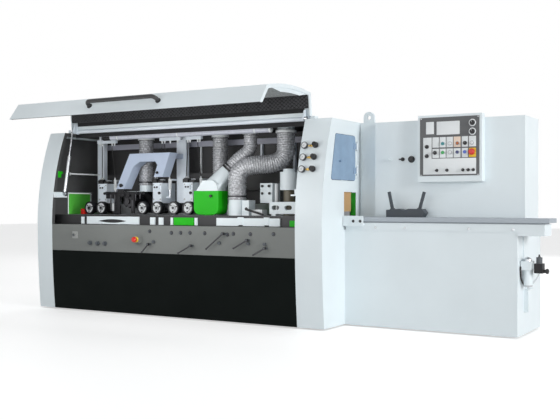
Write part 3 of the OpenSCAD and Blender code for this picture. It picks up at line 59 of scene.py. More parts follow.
def new_shader(name, rough, metal=0.0):
    """A material with its node tree, its shader and a position to sample textures at."""
    mat = bpy.data.materials.new(name)
    mat.use_nodes = True
    tree = mat.node_tree
    bsdf = tree.nodes["Principled BSDF"]
    bsdf.inputs["Roughness"].default_value = rough
    bsdf.inputs["Metallic"].default_value = metal
    place = tree.nodes.new("ShaderNodeTexCoord").outputs["Object"]
    return mat, tree, bsdf, place


def noise(tree, place, scale, detail=3.0, stretch=None):
    """A noise value at a position, drawn out along an axis where stretch is given."""
    if stretch:
        mapping = tree.nodes.new("ShaderNodeMapping")
        mapping.inputs["Scale"].default_value = stretch
        tree.links.new(place, mapping.inputs["Vector"])
        place = mapping.outputs["Vector"]
    node = tree.nodes.new("ShaderNodeTexNoise")
    node.inputs["Scale"].default_value = scale
    node.inputs["Detail"].default_value = detail
    tree.links.new(place, node.inputs["Vector"])
    return node.outputs["Fac"]


def ramp(tree, value, low, high, at_low=0.0, at_high=1.0):
    """A value mapped from one range to another."""
    node = tree.nodes.new("ShaderNodeMapRange")
    node.inputs["From Min"].default_value = low
    node.inputs["From Max"].default_value = high
    node.inputs["To Min"].default_value = at_low
    node.inputs["To Max"].default_value = at_high
    tree.links.new(value, node.inputs["Value"])
    return node.outputs["Result"]


def mixed(tree, factor, first, second):
    """A colour between two colours; the first may be a socket."""
    node = tree.nodes.new("ShaderNodeMix")
    node.data_type = "RGBA"
    tree.links.new(factor, node.inputs[0])
    if isinstance(first, tuple):
        node.inputs[6].default_value = (*first, 1)
    else:
        tree.links.new(first, node.inputs[6])
    node.inputs[7].default_value = (*second, 1)
    return node.outputs[2]


def bump(tree, bsdf, height, strength, depth):
    """Relief on the shader's normal."""
    node = tree.nodes.new("ShaderNodeBump")
    node.inputs["Strength"].default_value = strength
    node.inputs["Distance"].default_value = depth
    tree.links.new(height, node.inputs["Height"])
    tree.links.new(node.outputs["Normal"], bsdf.inputs["Normal"])


def edge_wear_and_highlight(tree, place, radius):
    """A mask of outer edges, broken up by noise, where paint and metal are drawn lighter: partly wear,
    partly painted highlight.
    """
    bevel = tree.nodes.new("ShaderNodeBevel")
    bevel.samples = 4
    bevel.inputs["Radius"].default_value = radius
    flat = tree.nodes.new("ShaderNodeNewGeometry")
    dot = tree.nodes.new("ShaderNodeVectorMath")
    dot.operation = "DOT_PRODUCT"
    tree.links.new(bevel.outputs["Normal"], dot.inputs[0])
    tree.links.new(flat.outputs["Normal"], dot.inputs[1])
    edge = ramp(tree, dot.outputs["Value"], 0.99, 0.8)
    chips = ramp(tree, noise(tree, place, 60, 4), 0.35, 0.6)
    both = tree.nodes.new("ShaderNodeMath")
    both.operation = "MULTIPLY"
    tree.links.new(edge, both.inputs[0])
    tree.links.new(chips, both.inputs[1])
    return both.outputs["Value"]


def shade(colour, k):
    """A colour made darker or lighter."""
    return tuple(min(1.0, c * k) for c in colour)


def paint(name, colour, rough=0.4, spread=0.04, peel=0.08, wear_and_highlight=0.0, spec=0.5):
    """Sprayed sheet metal: a faintly cloudy tone, orange peel, and edges drawn lighter, partly as rubbed
    wear and partly as painted highlight.
    """
    mat, tree, bsdf, place = new_shader(name, rough)
    bsdf.inputs["Specular IOR Level"].default_value = spec
    cloud = ramp(tree, noise(tree, place, 2.3, 5), 0.35, 0.65)
    tone = mixed(tree, cloud, shade(colour, 1 - spread), shade(colour, 1 + spread))
    # Edges drawn lighter: partly rubbed wear, partly painted highlight
    if wear_and_highlight:
        tone = mixed(tree, edge_wear_and_highlight(tree, place, 0.003), tone, shade(colour, wear_and_highlight))
    tree.links.new(tone, bsdf.inputs["Base Color"])
    gloss = ramp(tree, noise(tree, place, 7, 4), 0.3, 0.7, rough - 0.05, rough + 0.07)
    tree.links.new(gloss, bsdf.inputs["Roughness"])
    bump(tree, bsdf, noise(tree, place, 420, 2), peel, 0.0004)
    return mat


def ground(name, colour, rough=0.32, stretch=(2, 40, 40), spread=0.12, metal=1.0):
    """Ground or turned metal: streaks of tone and gloss along one axis."""
    mat, tree, bsdf, place = new_shader(name, rough, metal)
    streak = noise(tree, place, 9, 6, stretch)
    tone = mixed(tree, ramp(tree, streak, 0.3, 0.7), shade(colour, 1 - spread), shade(colour, 1 + spread))
    # Edges drawn lighter: partly wear, partly painted highlight
    tone = mixed(tree, edge_wear_and_highlight(tree, place, 0.002), tone, shade(colour, 1.25))
    tree.links.new(tone, bsdf.inputs["Base Color"])
    gloss = ramp(tree, streak, 0.3, 0.7, rough - 0.08, rough + 0.1)
    tree.links.new(gloss, bsdf.inputs["Roughness"])
    bump(tree, bsdf, streak, 0.12, 0.0006)
    return mat


def plastic(name, colour, rough=0.45, grain=0.15):
    """Moulded plastic: fine grain and a slight change of tone."""
    mat, tree, bsdf, place = new_shader(name, rough)
    cloud = ramp(tree, noise(tree, place, 25, 3), 0.3, 0.7)
    tone = mixed(tree, cloud, shade(colour, 0.93), shade(colour, 1.07))
    tree.links.new(tone, bsdf.inputs["Base Color"])
    gloss = ramp(tree, noise(tree, place, 60, 3), 0.3, 0.7, rough - 0.06, rough + 0.08)
    tree.links.new(gloss, bsdf.inputs["Roughness"])
    bump(tree, bsdf, noise(tree, place, 700, 2), grain, 0.0003)
    return mat


def foam_fabric(name, colour):
    """Open-cell foam with a matt skin."""
    mat, tree, bsdf, place = new_shader(name, 0.85)
    cells = noise(tree, place, 320, 4)
    tone = mixed(tree, ramp(tree, cells, 0.3, 0.7), shade(colour, 0.6), shade(colour, 1.4))
    tree.links.new(tone, bsdf.inputs["Base Color"])
    bump(tree, bsdf, cells, 0.5, 0.002)
    return mat


def foil(name, colour):
    """Crumpled metallised sleeve of a ribbed hose: small facets of light and dark."""
    mat, tree, bsdf, place = new_shader(name, 0.42, 0.35)
    cells = tree.nodes.new("ShaderNodeTexVoronoi")
    cells.inputs["Scale"].default_value = 55
    tree.links.new(place, cells.inputs["Vector"])
    crinkle = noise(tree, place, 90, 5)
    tone = mixed(tree, ramp(tree, crinkle, 0.3, 0.7), shade(colour, 0.6), shade(colour, 1.2))
    tone = mixed(tree, ramp(tree, cells.outputs["Distance"], 0.25, 0.7), tone, shade(colour, 0.55))
    tree.links.new(tone, bsdf.inputs["Base Color"])
    gloss = ramp(tree, noise(tree, place, 45, 4), 0.3, 0.7, 0.32, 0.55)
    tree.links.new(gloss, bsdf.inputs["Roughness"])
    bump(tree, bsdf, crinkle, 0.8, 0.004)
    return mat


def pane(name, colour, alpha):
    """Tinted sheet of clear plastic with faint dust."""
    mat, tree, bsdf, place = new_shader(name, 0.1)
    dust = ramp(tree, noise(tree, place, 14, 5), 0.4, 0.75)
    tree.links.new(mixed(tree, dust, colour, shade(colour, 1.12)), bsdf.inputs["Base Color"])
    gloss = ramp(tree, noise(tree, place, 20, 4), 0.35, 0.7, 0.06, 0.18)
    tree.links.new(gloss, bsdf.inputs["Roughness"])
    bsdf.inputs["Alpha"].default_value = alpha
    return mat


def glow(name, colour, strength, rough=0.3):
    """A lit lens or tube: its own colour and a little light."""
    mat = plastic(name, colour, rough, 0.05)
    bsdf = mat.node_tree.nodes["Principled BSDF"]
    bsdf.inputs["Emission Color"].default_value = (*colour, 1)
    bsdf.inputs["Emission Strength"].default_value = strength
    return mat


PANEL = paint("panel_white", (0.74, 0.81, 0.84), 0.36, 0.02, 0.06, 1.06)
LINING = paint("chamber_grey", (0.066, 0.067, 0.068), 0.55, 0.12, 0.12, 1.5)
# Darker copy of the chamber grey: painted shade for the back of the work space
REAR_SHADE = paint("rear_painted_shade", (0.034, 0.034, 0.035), 0.5, 0.12, 0.12, 1.5)
BLACK = paint("lower_black", (0.005, 0.0068, 0.0063), 0.62, 0.1, 0.06, 2.2, 0.04)
STRIP = paint("strip_grey", (0.175, 0.185, 0.178), 0.5, 0.05, 0.1, 1.4, 0.3)
SLATE = paint("slate_grey", (0.07, 0.08, 0.09), 0.4, 0.08, 0.12, 1.8)
DARK = paint("machine_black", (0.016, 0.016, 0.018), 0.52, 0.15, 0.12, 2.0, 0.25)
CASTING = paint("pale_casting", (0.48, 0.56, 0.70), 0.42, 0.05, 0.15, 1.15)
PALE = paint("pale_post", (0.82, 0.89, 0.96), 0.4, 0.03, 0.1, 1.04)
RAIL = paint("rail_grey", (0.40, 0.41, 0.48), 0.4, 0.08, 0.12, 1.3)
TAG = paint("tag_grey", (0.30, 0.31, 0.30), 0.45, 0.05, 0.06, 1.2, 0.3)
BRACKET = paint("bracket_grey", (0.058, 0.068, 0.080), 0.45, 0.08, 0.12, 1.8, 0.3)
# Lighter copy of the guard green: painted light on the flap, which sits in shade
FLAP_LIT_GREEN = paint("flap_green_lit", (0.12, 0.62, 0.07), 0.4, 0.05, 0.08, 1.2, 0.3)
GREEN = paint("guard_green", (0.015, 0.46, 0.008), 0.4, 0.05, 0.08, 1.2, 0.2)
FASCIA = paint("fascia_grey", (0.118, 0.121, 0.125), 0.45, 0.03, 0.06, 1.3, 0.3)
PLATE = paint("plate_white", (0.76, 0.79, 0.80), 0.4, 0.02, 0.04, 1.05)
OLIVE = paint("pedestal_brown", (0.10, 0.085, 0.055), 0.5, 0.1, 0.15, 1.6)
IRON = ground("bed_iron", (0.30, 0.31, 0.32), 0.4, (2, 60, 60))
# Dark iron for the bed's front: painted shade in the gaps between the edge plates
GAP_SHADE_IRON = ground("bed_front_gap_shade", (0.05, 0.05, 0.052), 0.5, (2, 60, 60))
TABLE = ground("table_grey", (0.36, 0.40, 0.44), 0.5, (2, 60, 60), 0.08, 0.2)
STEEL = ground("bright_steel", (0.72, 0.73, 0.76), 0.26, (30, 30, 3))
ZINC = ground("zinc_steel", (0.52, 0.54, 0.56), 0.36, (12, 12, 12))
DARK_STEEL = ground("dark_steel", (0.07, 0.07, 0.075), 0.42, (20, 20, 20))
BRASS = ground("brass", (0.62, 0.42, 0.13), 0.3, (18, 18, 18))
TAN = paint("finger_tan", (0.52, 0.33, 0.15), 0.5, 0.1, 0.15, 1.2)
FOIL = foil("hose_foil", (0.64, 0.65, 0.68))
FOAM = foam_fabric("quilt_foam", (0.048, 0.049, 0.053))
# Near black for the sewn lines of the quilt, as painted shade in their creases, and for the binding strip
# at the lining's edge
SEAM_SHADE_AND_BINDING = foam_fabric("seam_shade_and_binding", (0.008, 0.008, 0.009))
# Lighter grey streaked along the hood for the lining's crown: painted highlight where the crown catches
# light and reflects the floor
CROWN_HIGHLIGHT = ground("crown_highlight_sheet", (0.38, 0.40, 0.405), 0.6, (1, 30, 30), 0.45, 0.0)
PLASTIC = plastic("black_plastic", (0.014, 0.014, 0.015))
WHITE = plastic("white_plastic", (0.74, 0.76, 0.77), 0.35)
RED = plastic("red_plastic", (0.62, 0.025, 0.015), 0.32, 0.05)
YELLOW = plastic("yellow_plastic", (0.75, 0.48, 0.02), 0.4, 0.05)
KEY_GREEN = plastic("green_plastic", (0.03, 0.33, 0.08), 0.3, 0.05)
KEY_TEAL = plastic("teal_plastic", (0.02, 0.20, 0.22), 0.3, 0.05)
KEY_NAVY = plastic("navy_plastic", (0.02, 0.03, 0.12), 0.3, 0.05)
KEY_BLUE = plastic("blue_plastic", (0.07, 0.13, 0.50), 0.3, 0.05)
ORANGE = plastic("orange_lens", (0.42, 0.12, 0.03), 0.25, 0.05)
PEACH = paint("peach_field", (0.82, 0.66, 0.54), 0.4, 0.02, 0.04, 1.05)
PANE = pane("tinted_pane", (0.27, 0.39, 0.54), 0.86)
TUBE = glow("lamp_tube", (0.52, 0.54, 0.61), 0.04)

NODE_LOOK = {
    PANEL: ["left_end_panel", "right_end_panel", "rear_casing", "bed_edge_plates", "infeed_base",
            "electrical_cabinet", "control_box", "hood_shell", "extraction_pipes", "infeed_side_guide",
            "air_service_unit"],
    LINING: ["chamber_lining", "base_frame"],
    DARK: ["spindle_motors"],
    BLACK: ["lower_front_panel"],
    STRIP: ["control_strip"],
    SLATE: ["strip_controls", "pressure_gauges"],
    BRACKET: ["lever_bracket"],
    CASTING: ["arch_hood"],
    PALE: ["overhead_frame", "hood_pivot", "feed_unit_1", "feed_unit_2", "feed_unit_3"],
    GREEN: ["green_guards"],
    FLAP_LIT_GREEN: ["outfeed_flap"],
    FASCIA: ["control_fascia"],
    IRON: ["bed", "fence"],
    TABLE: ["infeed_table"],
    STEEL: ["lift_rods", "bottom_spindle", "near_spindle", "fence_spindle", "top_spindle"],
    ZINC: ["levelling_feet", "lift_barrels"],
    DARK_STEEL: ["feed_roller_%d" % i for i in range(1, 7)] + ["clamp_lever_%d" % i for i in range(1, 6)],
    TAN: ["kickback_fingers"],
    FOIL: ["extraction_hoses"],
    FOAM: ["hood_lining"],
    PLASTIC: ["hood_handle"],
    PANE: ["window_door"],
    RED: ["strip_stop_button", "panel_stop_button"],
    KEY_GREEN: ["green_button"],
    KEY_TEAL: ["teal_button"],
    KEY_NAVY: ["navy_button"],
    KEY_BLUE: ["blue_button"],
}
for look, names in NODE_LOOK.items():
    for name in names:
        NODES[name].data.materials.clear()
        NODES[name].data.materials.append(look)


def machine(point):
    """A scene point in machine mm."""
    return Vector(((point.x - LEFT) * 1000, (point.y - FRONT) * 1000, point.z * 1000))


def tint(node, look, test):
    """Another material on the faces of a solid that pass a test of their machine place and direction."""
    mesh = NODES[node].data
    if look.name not in mesh.materials:
        mesh.materials.append(look)
    index = mesh.materials.find(look.name)
    for face in mesh.polygons:
        if test(machine(NODES[node].matrix_world @ face.center), face.normal):
            face.material_index = index


def recolour(node, look, lo, hi):
    """Another material on the faces of a solid that lie inside a machine box."""
    tint(node, look, lambda c, n: all(lo[k] <= c[k] <= hi[k] for k in range(3)))


def piece(name, bm, look, body="frame", smooth=40.0):
    """A finished mesh, in scene metres, shown on a body."""
    bmesh.ops.recalc_face_normals(bm, faces=bm.faces)
    mesh = bpy.data.meshes.new(name)
    bm.to_mesh(mesh)
    bm.free()
    for face in mesh.polygons:
        face.use_smooth = True
    mesh.set_sharp_from_angle(angle=math.radians(smooth))
    mesh.materials.append(look)
    obj = bpy.data.objects.new(name, mesh)
    bpy.context.collection.objects.link(obj)
    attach(obj, body)
    return obj


def add_box(bm, lo, hi, edge=2.0):
    """A box between two machine corners with rounded edges."""
    a, b = at(*lo), at(*hi)
    made = bmesh.ops.create_cube(bm, size=1.0)["verts"]
    size = b - a
    for v in made:
        v.co = Vector([a[k] + size[k] * (v.co[k] + 0.5) for k in range(3)])
    edges = list({e for v in made for e in v.link_edges})
    width = min(edge / 1000, min(size) * 0.45)
    bmesh.ops.bevel(bm, geom=edges, offset=width, segments=2, profile=0.6, affect="EDGES")


def side_axes(axis):
    """Two directions across an axis."""
    u = axis.cross(Z if abs(axis.z) < 0.9 else X).normalized()
    return u, axis.cross(u).normalized()


def circle(bm, centre, axis, radius, sides):
    """A ring of vertices round a scene point, with its radius in mm."""
    u, v = side_axes(axis)
    turn = [2 * math.pi * k / sides for k in range(sides)]
    return [bm.verts.new(centre + (u * math.cos(t) + v * math.sin(t)) * (radius / 1000)) for t in turn]


def join_rings(bm, rings, closed=False):
    """Faces between rings that follow each other, and from the last to the first where closed."""
    sides = len(rings[0])
    after = rings[1:] + rings[:1] if closed else rings[1:]
    for a, b in zip(rings, after):
        for k in range(sides):
            bm.faces.new((a[k], a[(k + 1) % sides], b[(k + 1) % sides], b[k]))


def add_turned(bm, base, axis, profile, sides=24):
    """A turned form: a profile of (radius, height) in mm about an axis from a scene point."""
    axis = axis.normalized()
    rings = [circle(bm, base + axis * (h / 1000), axis, r, sides) for r, h in profile]
    join_rings(bm, rings)
    bm.faces.new(rings[0])
    bm.faces.new(rings[-1])


def add_ring(bm, base, axis, loop, sides=32):
    """A ring: a closed loop of (radius, height) in mm turned about an axis."""
    axis = axis.normalized()
    rings = [circle(bm, base + axis * (h / 1000), axis, r, sides) for r, h in loop]
    join_rings(bm, rings, closed=True)


def add_tube(bm, points, radius, sides=12):
    """A round tube along scene points."""
    rings = []
    last = len(points) - 1
    for i, p in enumerate(points):
        axis = (points[min(i + 1, last)] - points[max(i - 1, 0)]).normalized()
        rings.append(circle(bm, p, axis, radius, sides))
    for a, b in zip(rings, rings[1:]):
        near = min(range(sides), key=lambda k: (b[k].co - a[0].co).length)
        for k in range(sides):
            bm.faces.new((a[k], a[(k + 1) % sides], b[(k + 1 + near) % sides], b[(k + near) % sides]))
    bm.faces.new(rings[0])
    bm.faces.new(rings[-1])


def bend(p0, d0, p1, d1, steps=16):
    """Scene points on a smooth curve between two points with their directions."""
    out = []
    for k in range(steps + 1):
        t = k / steps
        out.append((2 * t ** 3 - 3 * t ** 2 + 1) * p0 + (t ** 3 - 2 * t ** 2 + t) * d0
                   + (3 * t ** 2 - 2 * t ** 3) * p1 + (t ** 3 - t ** 2) * d1)
    return out


# Profiles of small turned parts, as shares of their size
WASHER = [(1.15, 0), (1.15, 0.15), (1.05, 0.2)]
BOLT_HEAD = [(0.9, 0.2), (0.95, 0.3), (0.95, 0.7), (0.8, 0.82)]
KNOB = [(0.7, 0), (0.6, 0.5), (1, 0.7), (1, 1.3), (0.8, 1.55)]


def add_bolt(bm, base, axis, size):
    """A hexagon bolt head on its washer."""
    add_turned(bm, base, axis, [(size * r, size * h) for r, h in WASHER], 24)
    add_turned(bm, base, axis, [(size * r, size * h) for r, h in BOLT_HEAD], 6)


def add_knob(bm, place, axis, size):
    """A turned knob with a waist, on a surface."""
    add_turned(bm, place, axis, [(size * r, size * h) for r, h in KNOB], 20)


# Extraction hoses in machine mm: start, direction, end, direction, pipe radius, slack, direction across
CHUTE_FOOT = Vector((1790, 270, 1100))
CHUTE_HEAD = Vector((1930, 345, 1270))
CHUTE_DIR = (CHUTE_HEAD - CHUTE_FOOT).normalized()
HOSES = [
    (Vector((850, 560, 1152.5)), Z, Vector((850, 560, 1610)), Z, 62.5, 100, X),
    (Vector((1667, 606, 1130)), Z, Vector((1667, 606, 1610)), Z, 62.5, 100, X),
    (Vector((2065, 280, 1012)), Z, Vector((2415, 500, 1610)), Z, 72.5, 750, Vector((-220, 350, 0))),
    (CHUTE_HEAD, CHUTE_DIR, Vector((2090, 450, 1610)), Z, 52, 220, Vector((-105, 160, 0))),
]
RIB_PITCH = 20.0
RIB_STEP = 4.0
RIB_HIGH = 4.8
SKIN_OUT = 2.2
SKIN_IN = 2.5
CRINKLE = 0.7
HOSE_SIDES = 36


def hose_route(p0, d0, p1, d1, r, slack):
    """Centres of a hose in machine mm, evenly spaced: straight ends and a bend between them."""
    lead = 2 * (r + 7)
    coarse = [p0] + bend(p0 + lead * d0, slack * d0, p1 - lead * d1, slack * d1, 80) + [p1]
    run = [0.0]
    for a, b in zip(coarse, coarse[1:]):
        run.append(run[-1] + (b - a).length)
    count = round(run[-1] / RIB_STEP)
    out = []
    for k in range(count + 1):
        s = run[-1] * k / count
        i = max(j for j in range(len(run) - 1) if run[j] <= s)
        share = (s - run[i]) / (run[i + 1] - run[i])
        out.append(coarse[i].lerp(coarse[i + 1], share))
    return out


def ring_at(bm, centre, axis, across, radius, crinkle=0.0):
    """One ring of a swept tube; across keeps its corners in line along the route."""
    u = across.cross(axis).normalized()
    v = axis.cross(u)
    out = []
    for k in range(HOSE_SIDES):
        t = 2 * math.pi * k / HOSE_SIDES
        r = radius + random.uniform(-crinkle, crinkle)
        out.append(bm.verts.new(at(*(centre + (u * math.cos(t) + v * math.sin(t)) * r))))
    return out


def make_hoses():
    """Ribbed foil hoses with their bores, and the clamp bands at their ends."""
    random.seed(7)
    skin = bmesh.new()
    bands = bmesh.new()
    for p0, d0, p1, d1, r, slack, across in HOSES:
        route = hose_route(p0, d0, p1, d1, r, slack)
        last = len(route) - 1
        axes = [(route[min(i + 1, last)] - route[max(i - 1, 0)]).normalized() for i in range(last + 1)]
        outer = []
        for i, (c, d) in enumerate(zip(route, axes)):
            wave = 0.5 - 0.5 * math.cos(2 * math.pi * i * RIB_STEP / RIB_PITCH)
            outer.append(ring_at(skin, c, d, across, r + SKIN_OUT + RIB_HIGH * wave, CRINKLE))
        inner = [ring_at(skin, route[i], axes[i], across, r - SKIN_IN) for i in range(last, -1, -6)]
        join_rings(skin, outer + inner, closed=True)
        for p, d in ((p0, d0), (p1, -d1)):
            loop = [(r + 5, 22), (r + 9, 22), (r + 9.6, 24), (r + 9.6, 34), (r + 9, 36), (r + 5, 36)]
            add_ring(bands, at(*p), d, loop, 40)
            u, _ = side_axes(d)
            add_bolt(bands, at(*p) + d * 0.029 + u * (r + 9) / 1000, u, 7)
    hose = piece("hose_skins", skin, FOIL, smooth=60)
    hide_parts("extraction_hoses")
    piece("hose_bands", bands, DARK_STEEL)


# Hood, seen from its end, in machine mm of depth and height
LIP_LOW = Vector((-510, 1720))
LIP_TOP = Vector((-407, 1858))
CROWN_BACK = Vector((263, 1871))
BACK_FOOT = Vector((284, 1682))
CROWN_RISE = 30.0
LINED_FROM = 1747.0
HOOD_X = (189.0, 2784.0)

# Quilt: depths of its face and seat under the outline, rows, columns, pillows, seams in painted shade and
# the crown in painted highlight
QUILT_FACE = 27.0
QUILT_SEAT = 4.6
QUILT_INSET = 8.5
QUILT_ROWS = (28, 112, 20)
QUILT_COLUMNS = 430
QUILT_PITCH = 38.0
QUILT_SLANT = 1.25
QUILT_PUFF = 8.0
QUILT_SINK = 2.0
SEWN_BELOW = 0.45
CROWN_LIT_Y = (-380, 215)
CROWN_LIT_Z = 1815

# Binding strip along the lining's rear edge, and bent rims at the hood's ends, wide between two rows
BINDING_X = (252, 2721)
BINDING_UP = 31
BINDING_H = 36
BINDING_DEPTHS = (4.5, 9)
RIM_X = ((197.1, 198.4), (2774.6, 2775.9))
RIM_ROWS = (8, 40, 8)
RIM_FROM = 12
RIM_TO = 46
RIM_OUT = 1.0
RIM_NARROW = 30.0
RIM_WIDE = 62.0


def hood_path(t, counts):
    """Points of the hood's outline moved in by t: up the lip, along the crown, down the back."""
    chord = CROWN_BACK - LIP_TOP
    r = ((chord.length / 2) ** 2 + CROWN_RISE ** 2) / (2 * CROWN_RISE)
    centre = (LIP_TOP + CROWN_BACK) / 2 - (r - CROWN_RISE) * Vector((-chord.y, chord.x)).normalized()
    lip = (LIP_TOP - LIP_LOW).normalized()
    back = (CROWN_BACK - BACK_FOOT).normalized()

    def meets(p, d):
        """Where a line from p along d leaves the shrunk crown."""
        b = d.dot(p - centre)
        c = (p - centre).length_squared - (r - t) ** 2
        return p + d * (-b + math.sqrt(b * b - c))

    low = LIP_LOW + t * Vector((lip.y, -lip.x))
    base = BACK_FOOT + t * Vector((-back.y, back.x))
    low = low + lip * max(0.0, (LIP_LOW.y - low.y) / lip.y)
    foot = base + back * ((LINED_FROM - base.y) / back.y)
    first, second = meets(low, lip), meets(base, back)
    a0 = math.atan2(first.y - centre.y, first.x - centre.x)
    a1 = math.atan2(second.y - centre.y, second.x - centre.x)
    out = [low.lerp(first, k / counts[0]) for k in range(counts[0])]
    for k in range(counts[1]):
        a = a0 + (a1 - a0) * k / counts[1]
        out.append(centre + (r - t) * Vector((math.cos(a), math.sin(a))))
    out += [second.lerp(foot, k / counts[2]) for k in range(counts[2] + 1)]
    return out


def pillow(x, s):
    """Height share of the quilt at a place along the hood and round it."""
    one = math.sin(math.pi * (x + QUILT_SLANT * s) / QUILT_PITCH)
    two = math.sin(math.pi * (x - QUILT_SLANT * s) / QUILT_PITCH)
    return abs(one * two) ** 0.6


def make_lining():
    """Quilted foam under the hood: diamond pillows sewn down along crossing lines."""
    bm = bmesh.new()
    face = hood_path(QUILT_FACE, QUILT_ROWS)
    seat = hood_path(QUILT_SEAT, QUILT_ROWS)
    x0, x1 = HOOD_X[0] + QUILT_INSET, HOOD_X[1] - QUILT_INSET
    run = 0.0
    runs = []
    front = []
    back = []
    for i, (p, q) in enumerate(zip(face, seat)):
        if i:
            run += (p - face[i - 1]).length
        inward = (p - q).normalized()
        row = []
        for k in range(QUILT_COLUMNS + 1):
            x = x0 + (x1 - x0) * k / QUILT_COLUMNS
            edge = i in (0, len(face) - 1) or k in (0, QUILT_COLUMNS)
            c = p if edge else p + inward * (QUILT_PUFF * pillow(x, run) - QUILT_SINK)
            row.append(bm.verts.new(at(x, c.x, c.y)))
        front.append(row)
        runs.append(run)
        back.append([bm.verts.new(at(x0, q.x, q.y)), bm.verts.new(at(x1, q.x, q.y))])
    for i in range(len(front) - 1):
        a, b = front[i], front[i + 1]
        crown = CROWN_LIT_Y[0] < face[i].x < CROWN_LIT_Y[1] and face[i].y > CROWN_LIT_Z
        middle = (runs[i] + runs[i + 1]) / 2
        for k in range(QUILT_COLUMNS):
            sewn = pillow(x0 + (x1 - x0) * (k + 0.5) / QUILT_COLUMNS, middle) < SEWN_BELOW
            # Crown faces get the lighter streaked grey as painted highlight; faces along the sewn lines get
            # near black as painted shade
            bm.faces.new((a[k], a[k + 1], b[k + 1], b[k])).material_index = 1 if crown else 2 if sewn else 0
        bm.faces.new((back[i][1], back[i][0], back[i + 1][0], back[i + 1][1]))
        bm.faces.new((back[i][0], a[0], b[0], back[i + 1][0]))
        bm.faces.new((a[-1], back[i][1], back[i + 1][1], b[-1]))
    bm.faces.new([*front[0], back[0][1], back[0][0]])
    bm.faces.new([*front[-1], back[-1][1], back[-1][0]])
    quilt = piece("hood_quilt", bm, FOAM, "hood", 80)
    quilt.data.materials.append(CROWN_HIGHLIGHT)
    quilt.data.materials.append(SEAM_SHADE_AND_BINDING)
    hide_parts("hood_lining")


def make_hood_edges():
    """Black binding along the lining's rear edge, and the bent rims at the hood's ends."""
    wall = (CROWN_BACK - BACK_FOOT).normalized()
    inward = Vector((-wall.y, wall.x))
    foot = BACK_FOOT + wall * BINDING_UP
    top = foot + wall * BINDING_H
    near, far = (inward * d for d in BINDING_DEPTHS)
    strip = bmesh.new()
    corners = [foot + near, foot + far, top + far, top + near]
    ends = [[strip.verts.new(at(x, c.x, c.y)) for c in corners] for x in BINDING_X]
    join_rings(strip, ends)
    for end in ends:
        strip.faces.new(end)
    piece("lining_binding", strip, SEAM_SHADE_AND_BINDING, "hood")
    rims = bmesh.new()
    outer = hood_path(RIM_OUT, RIM_ROWS)
    inner = []
    for k, (p, q) in enumerate(zip(hood_path(RIM_NARROW, RIM_ROWS), hood_path(RIM_WIDE, RIM_ROWS))):
        inner.append(p.lerp(q, max(0.0, min(1.0, (k - RIM_FROM) / 8, (RIM_TO - k) / 6))))
    for x0, x1 in RIM_X:
        lines = ((x0, outer), (x0, inner), (x1, inner), (x1, outer))
        rings = [[rims.verts.new(at(x, p.x, p.y)) for p in line] for x, line in lines]
        for a, b in zip(rings, rings[1:] + rings[:1]):
            for k in range(len(a) - 1):
                rims.faces.new((a[k], a[k + 1], b[k + 1], b[k]))
        for k in (0, -1):
            rims.faces.new([r[k] for r in rings])
    piece("hood_end_rims", rims, PANEL, "hood")


def add_plate(bm, outline, y0, y1, edge=0.5):
    """A flat plate that faces the front: an outline of (x, z) in machine mm between two depths."""
    front = [bm.verts.new(at(x, y0, z)) for x, z in outline]
    back = [bm.verts.new(at(x, y1, z)) for x, z in outline]
    bm.faces.new(front)
    bm.faces.new(back[::-1])
    n = len(outline)
    for k in range(n):
        bm.faces.new((front[k], back[k], back[(k + 1) % n], front[(k + 1) % n]))
    rim = [bm.edges.get((front[k], front[(k + 1) % n])) for k in range(n)]
    bmesh.ops.bevel(bm, geom=rim, offset=edge / 1000, segments=2, profile=0.6, affect="EDGES")


def rect(x0, x1, z0, z1, r=2.0):
    """A rectangle with rounded corners as an outline."""
    out = []
    corners = ((x1 - r, z1 - r, 0), (x0 + r, z1 - r, 90), (x0 + r, z0 + r, 180), (x1 - r, z0 + r, 270))
    for cx, cz, start in corners:
        for k in range(4):
            a = math.radians(start + 30 * k)
            out.append((cx + r * math.cos(a), cz + r * math.sin(a)))
    return out


# Control panel: fields, dials, selectors, lenses and key sockets on the fascia, in machine mm
FASCIA_Y = 520.0
CONTROLS_Y = 480.0
FIELD_Y = FASCIA_Y - 1.2
POINTER_Y = (FASCIA_Y - 26.4, FASCIA_Y - 25.8)
FIELDS = [(3715, 3768), (3774, 3823), (3829, 3880), (3886, 3940), (3950, 3998), (4006, 4061)]
ROW_1 = (1411.0, 1490.0)
ROW_2 = (1331.0, 1401.0)
PEACH_FIELD = 3
STOP_FIELD = 5
CORNER_FIELD = [(3640, 1204), (4062, 1204), (4062, 1325), (3709, 1325), (3709, 1490), (3640, 1490)]
UPPER_FIELD = (3663, 3727, 1516, 1611)
DIALS = [(4033, 1591), (4033, 1525)]
SELECTORS = [(3671, 1419), (3671, 1347), (3737, 1371), (3976, 1439)]
SELECTORS += [(x, 1235) for x in (3752, 3834, 3960, 4001, 4041)]
LAMPS = [(3857, 1439, WHITE), (3917, 1439, ORANGE), (4030, 1439, WHITE), (3857, 1371, WHITE)]
KEYS = ((3801, 1439), (3801, 1371), (3917, 1371), (3976, 1371))


def colour_control(x, z, r, look):
    """Another material on a control that stands out from the fascia."""
    recolour("control_fascia", look, (x - r, CONTROLS_Y, z - r), (x + r, FASCIA_Y - 0.1, z + r))


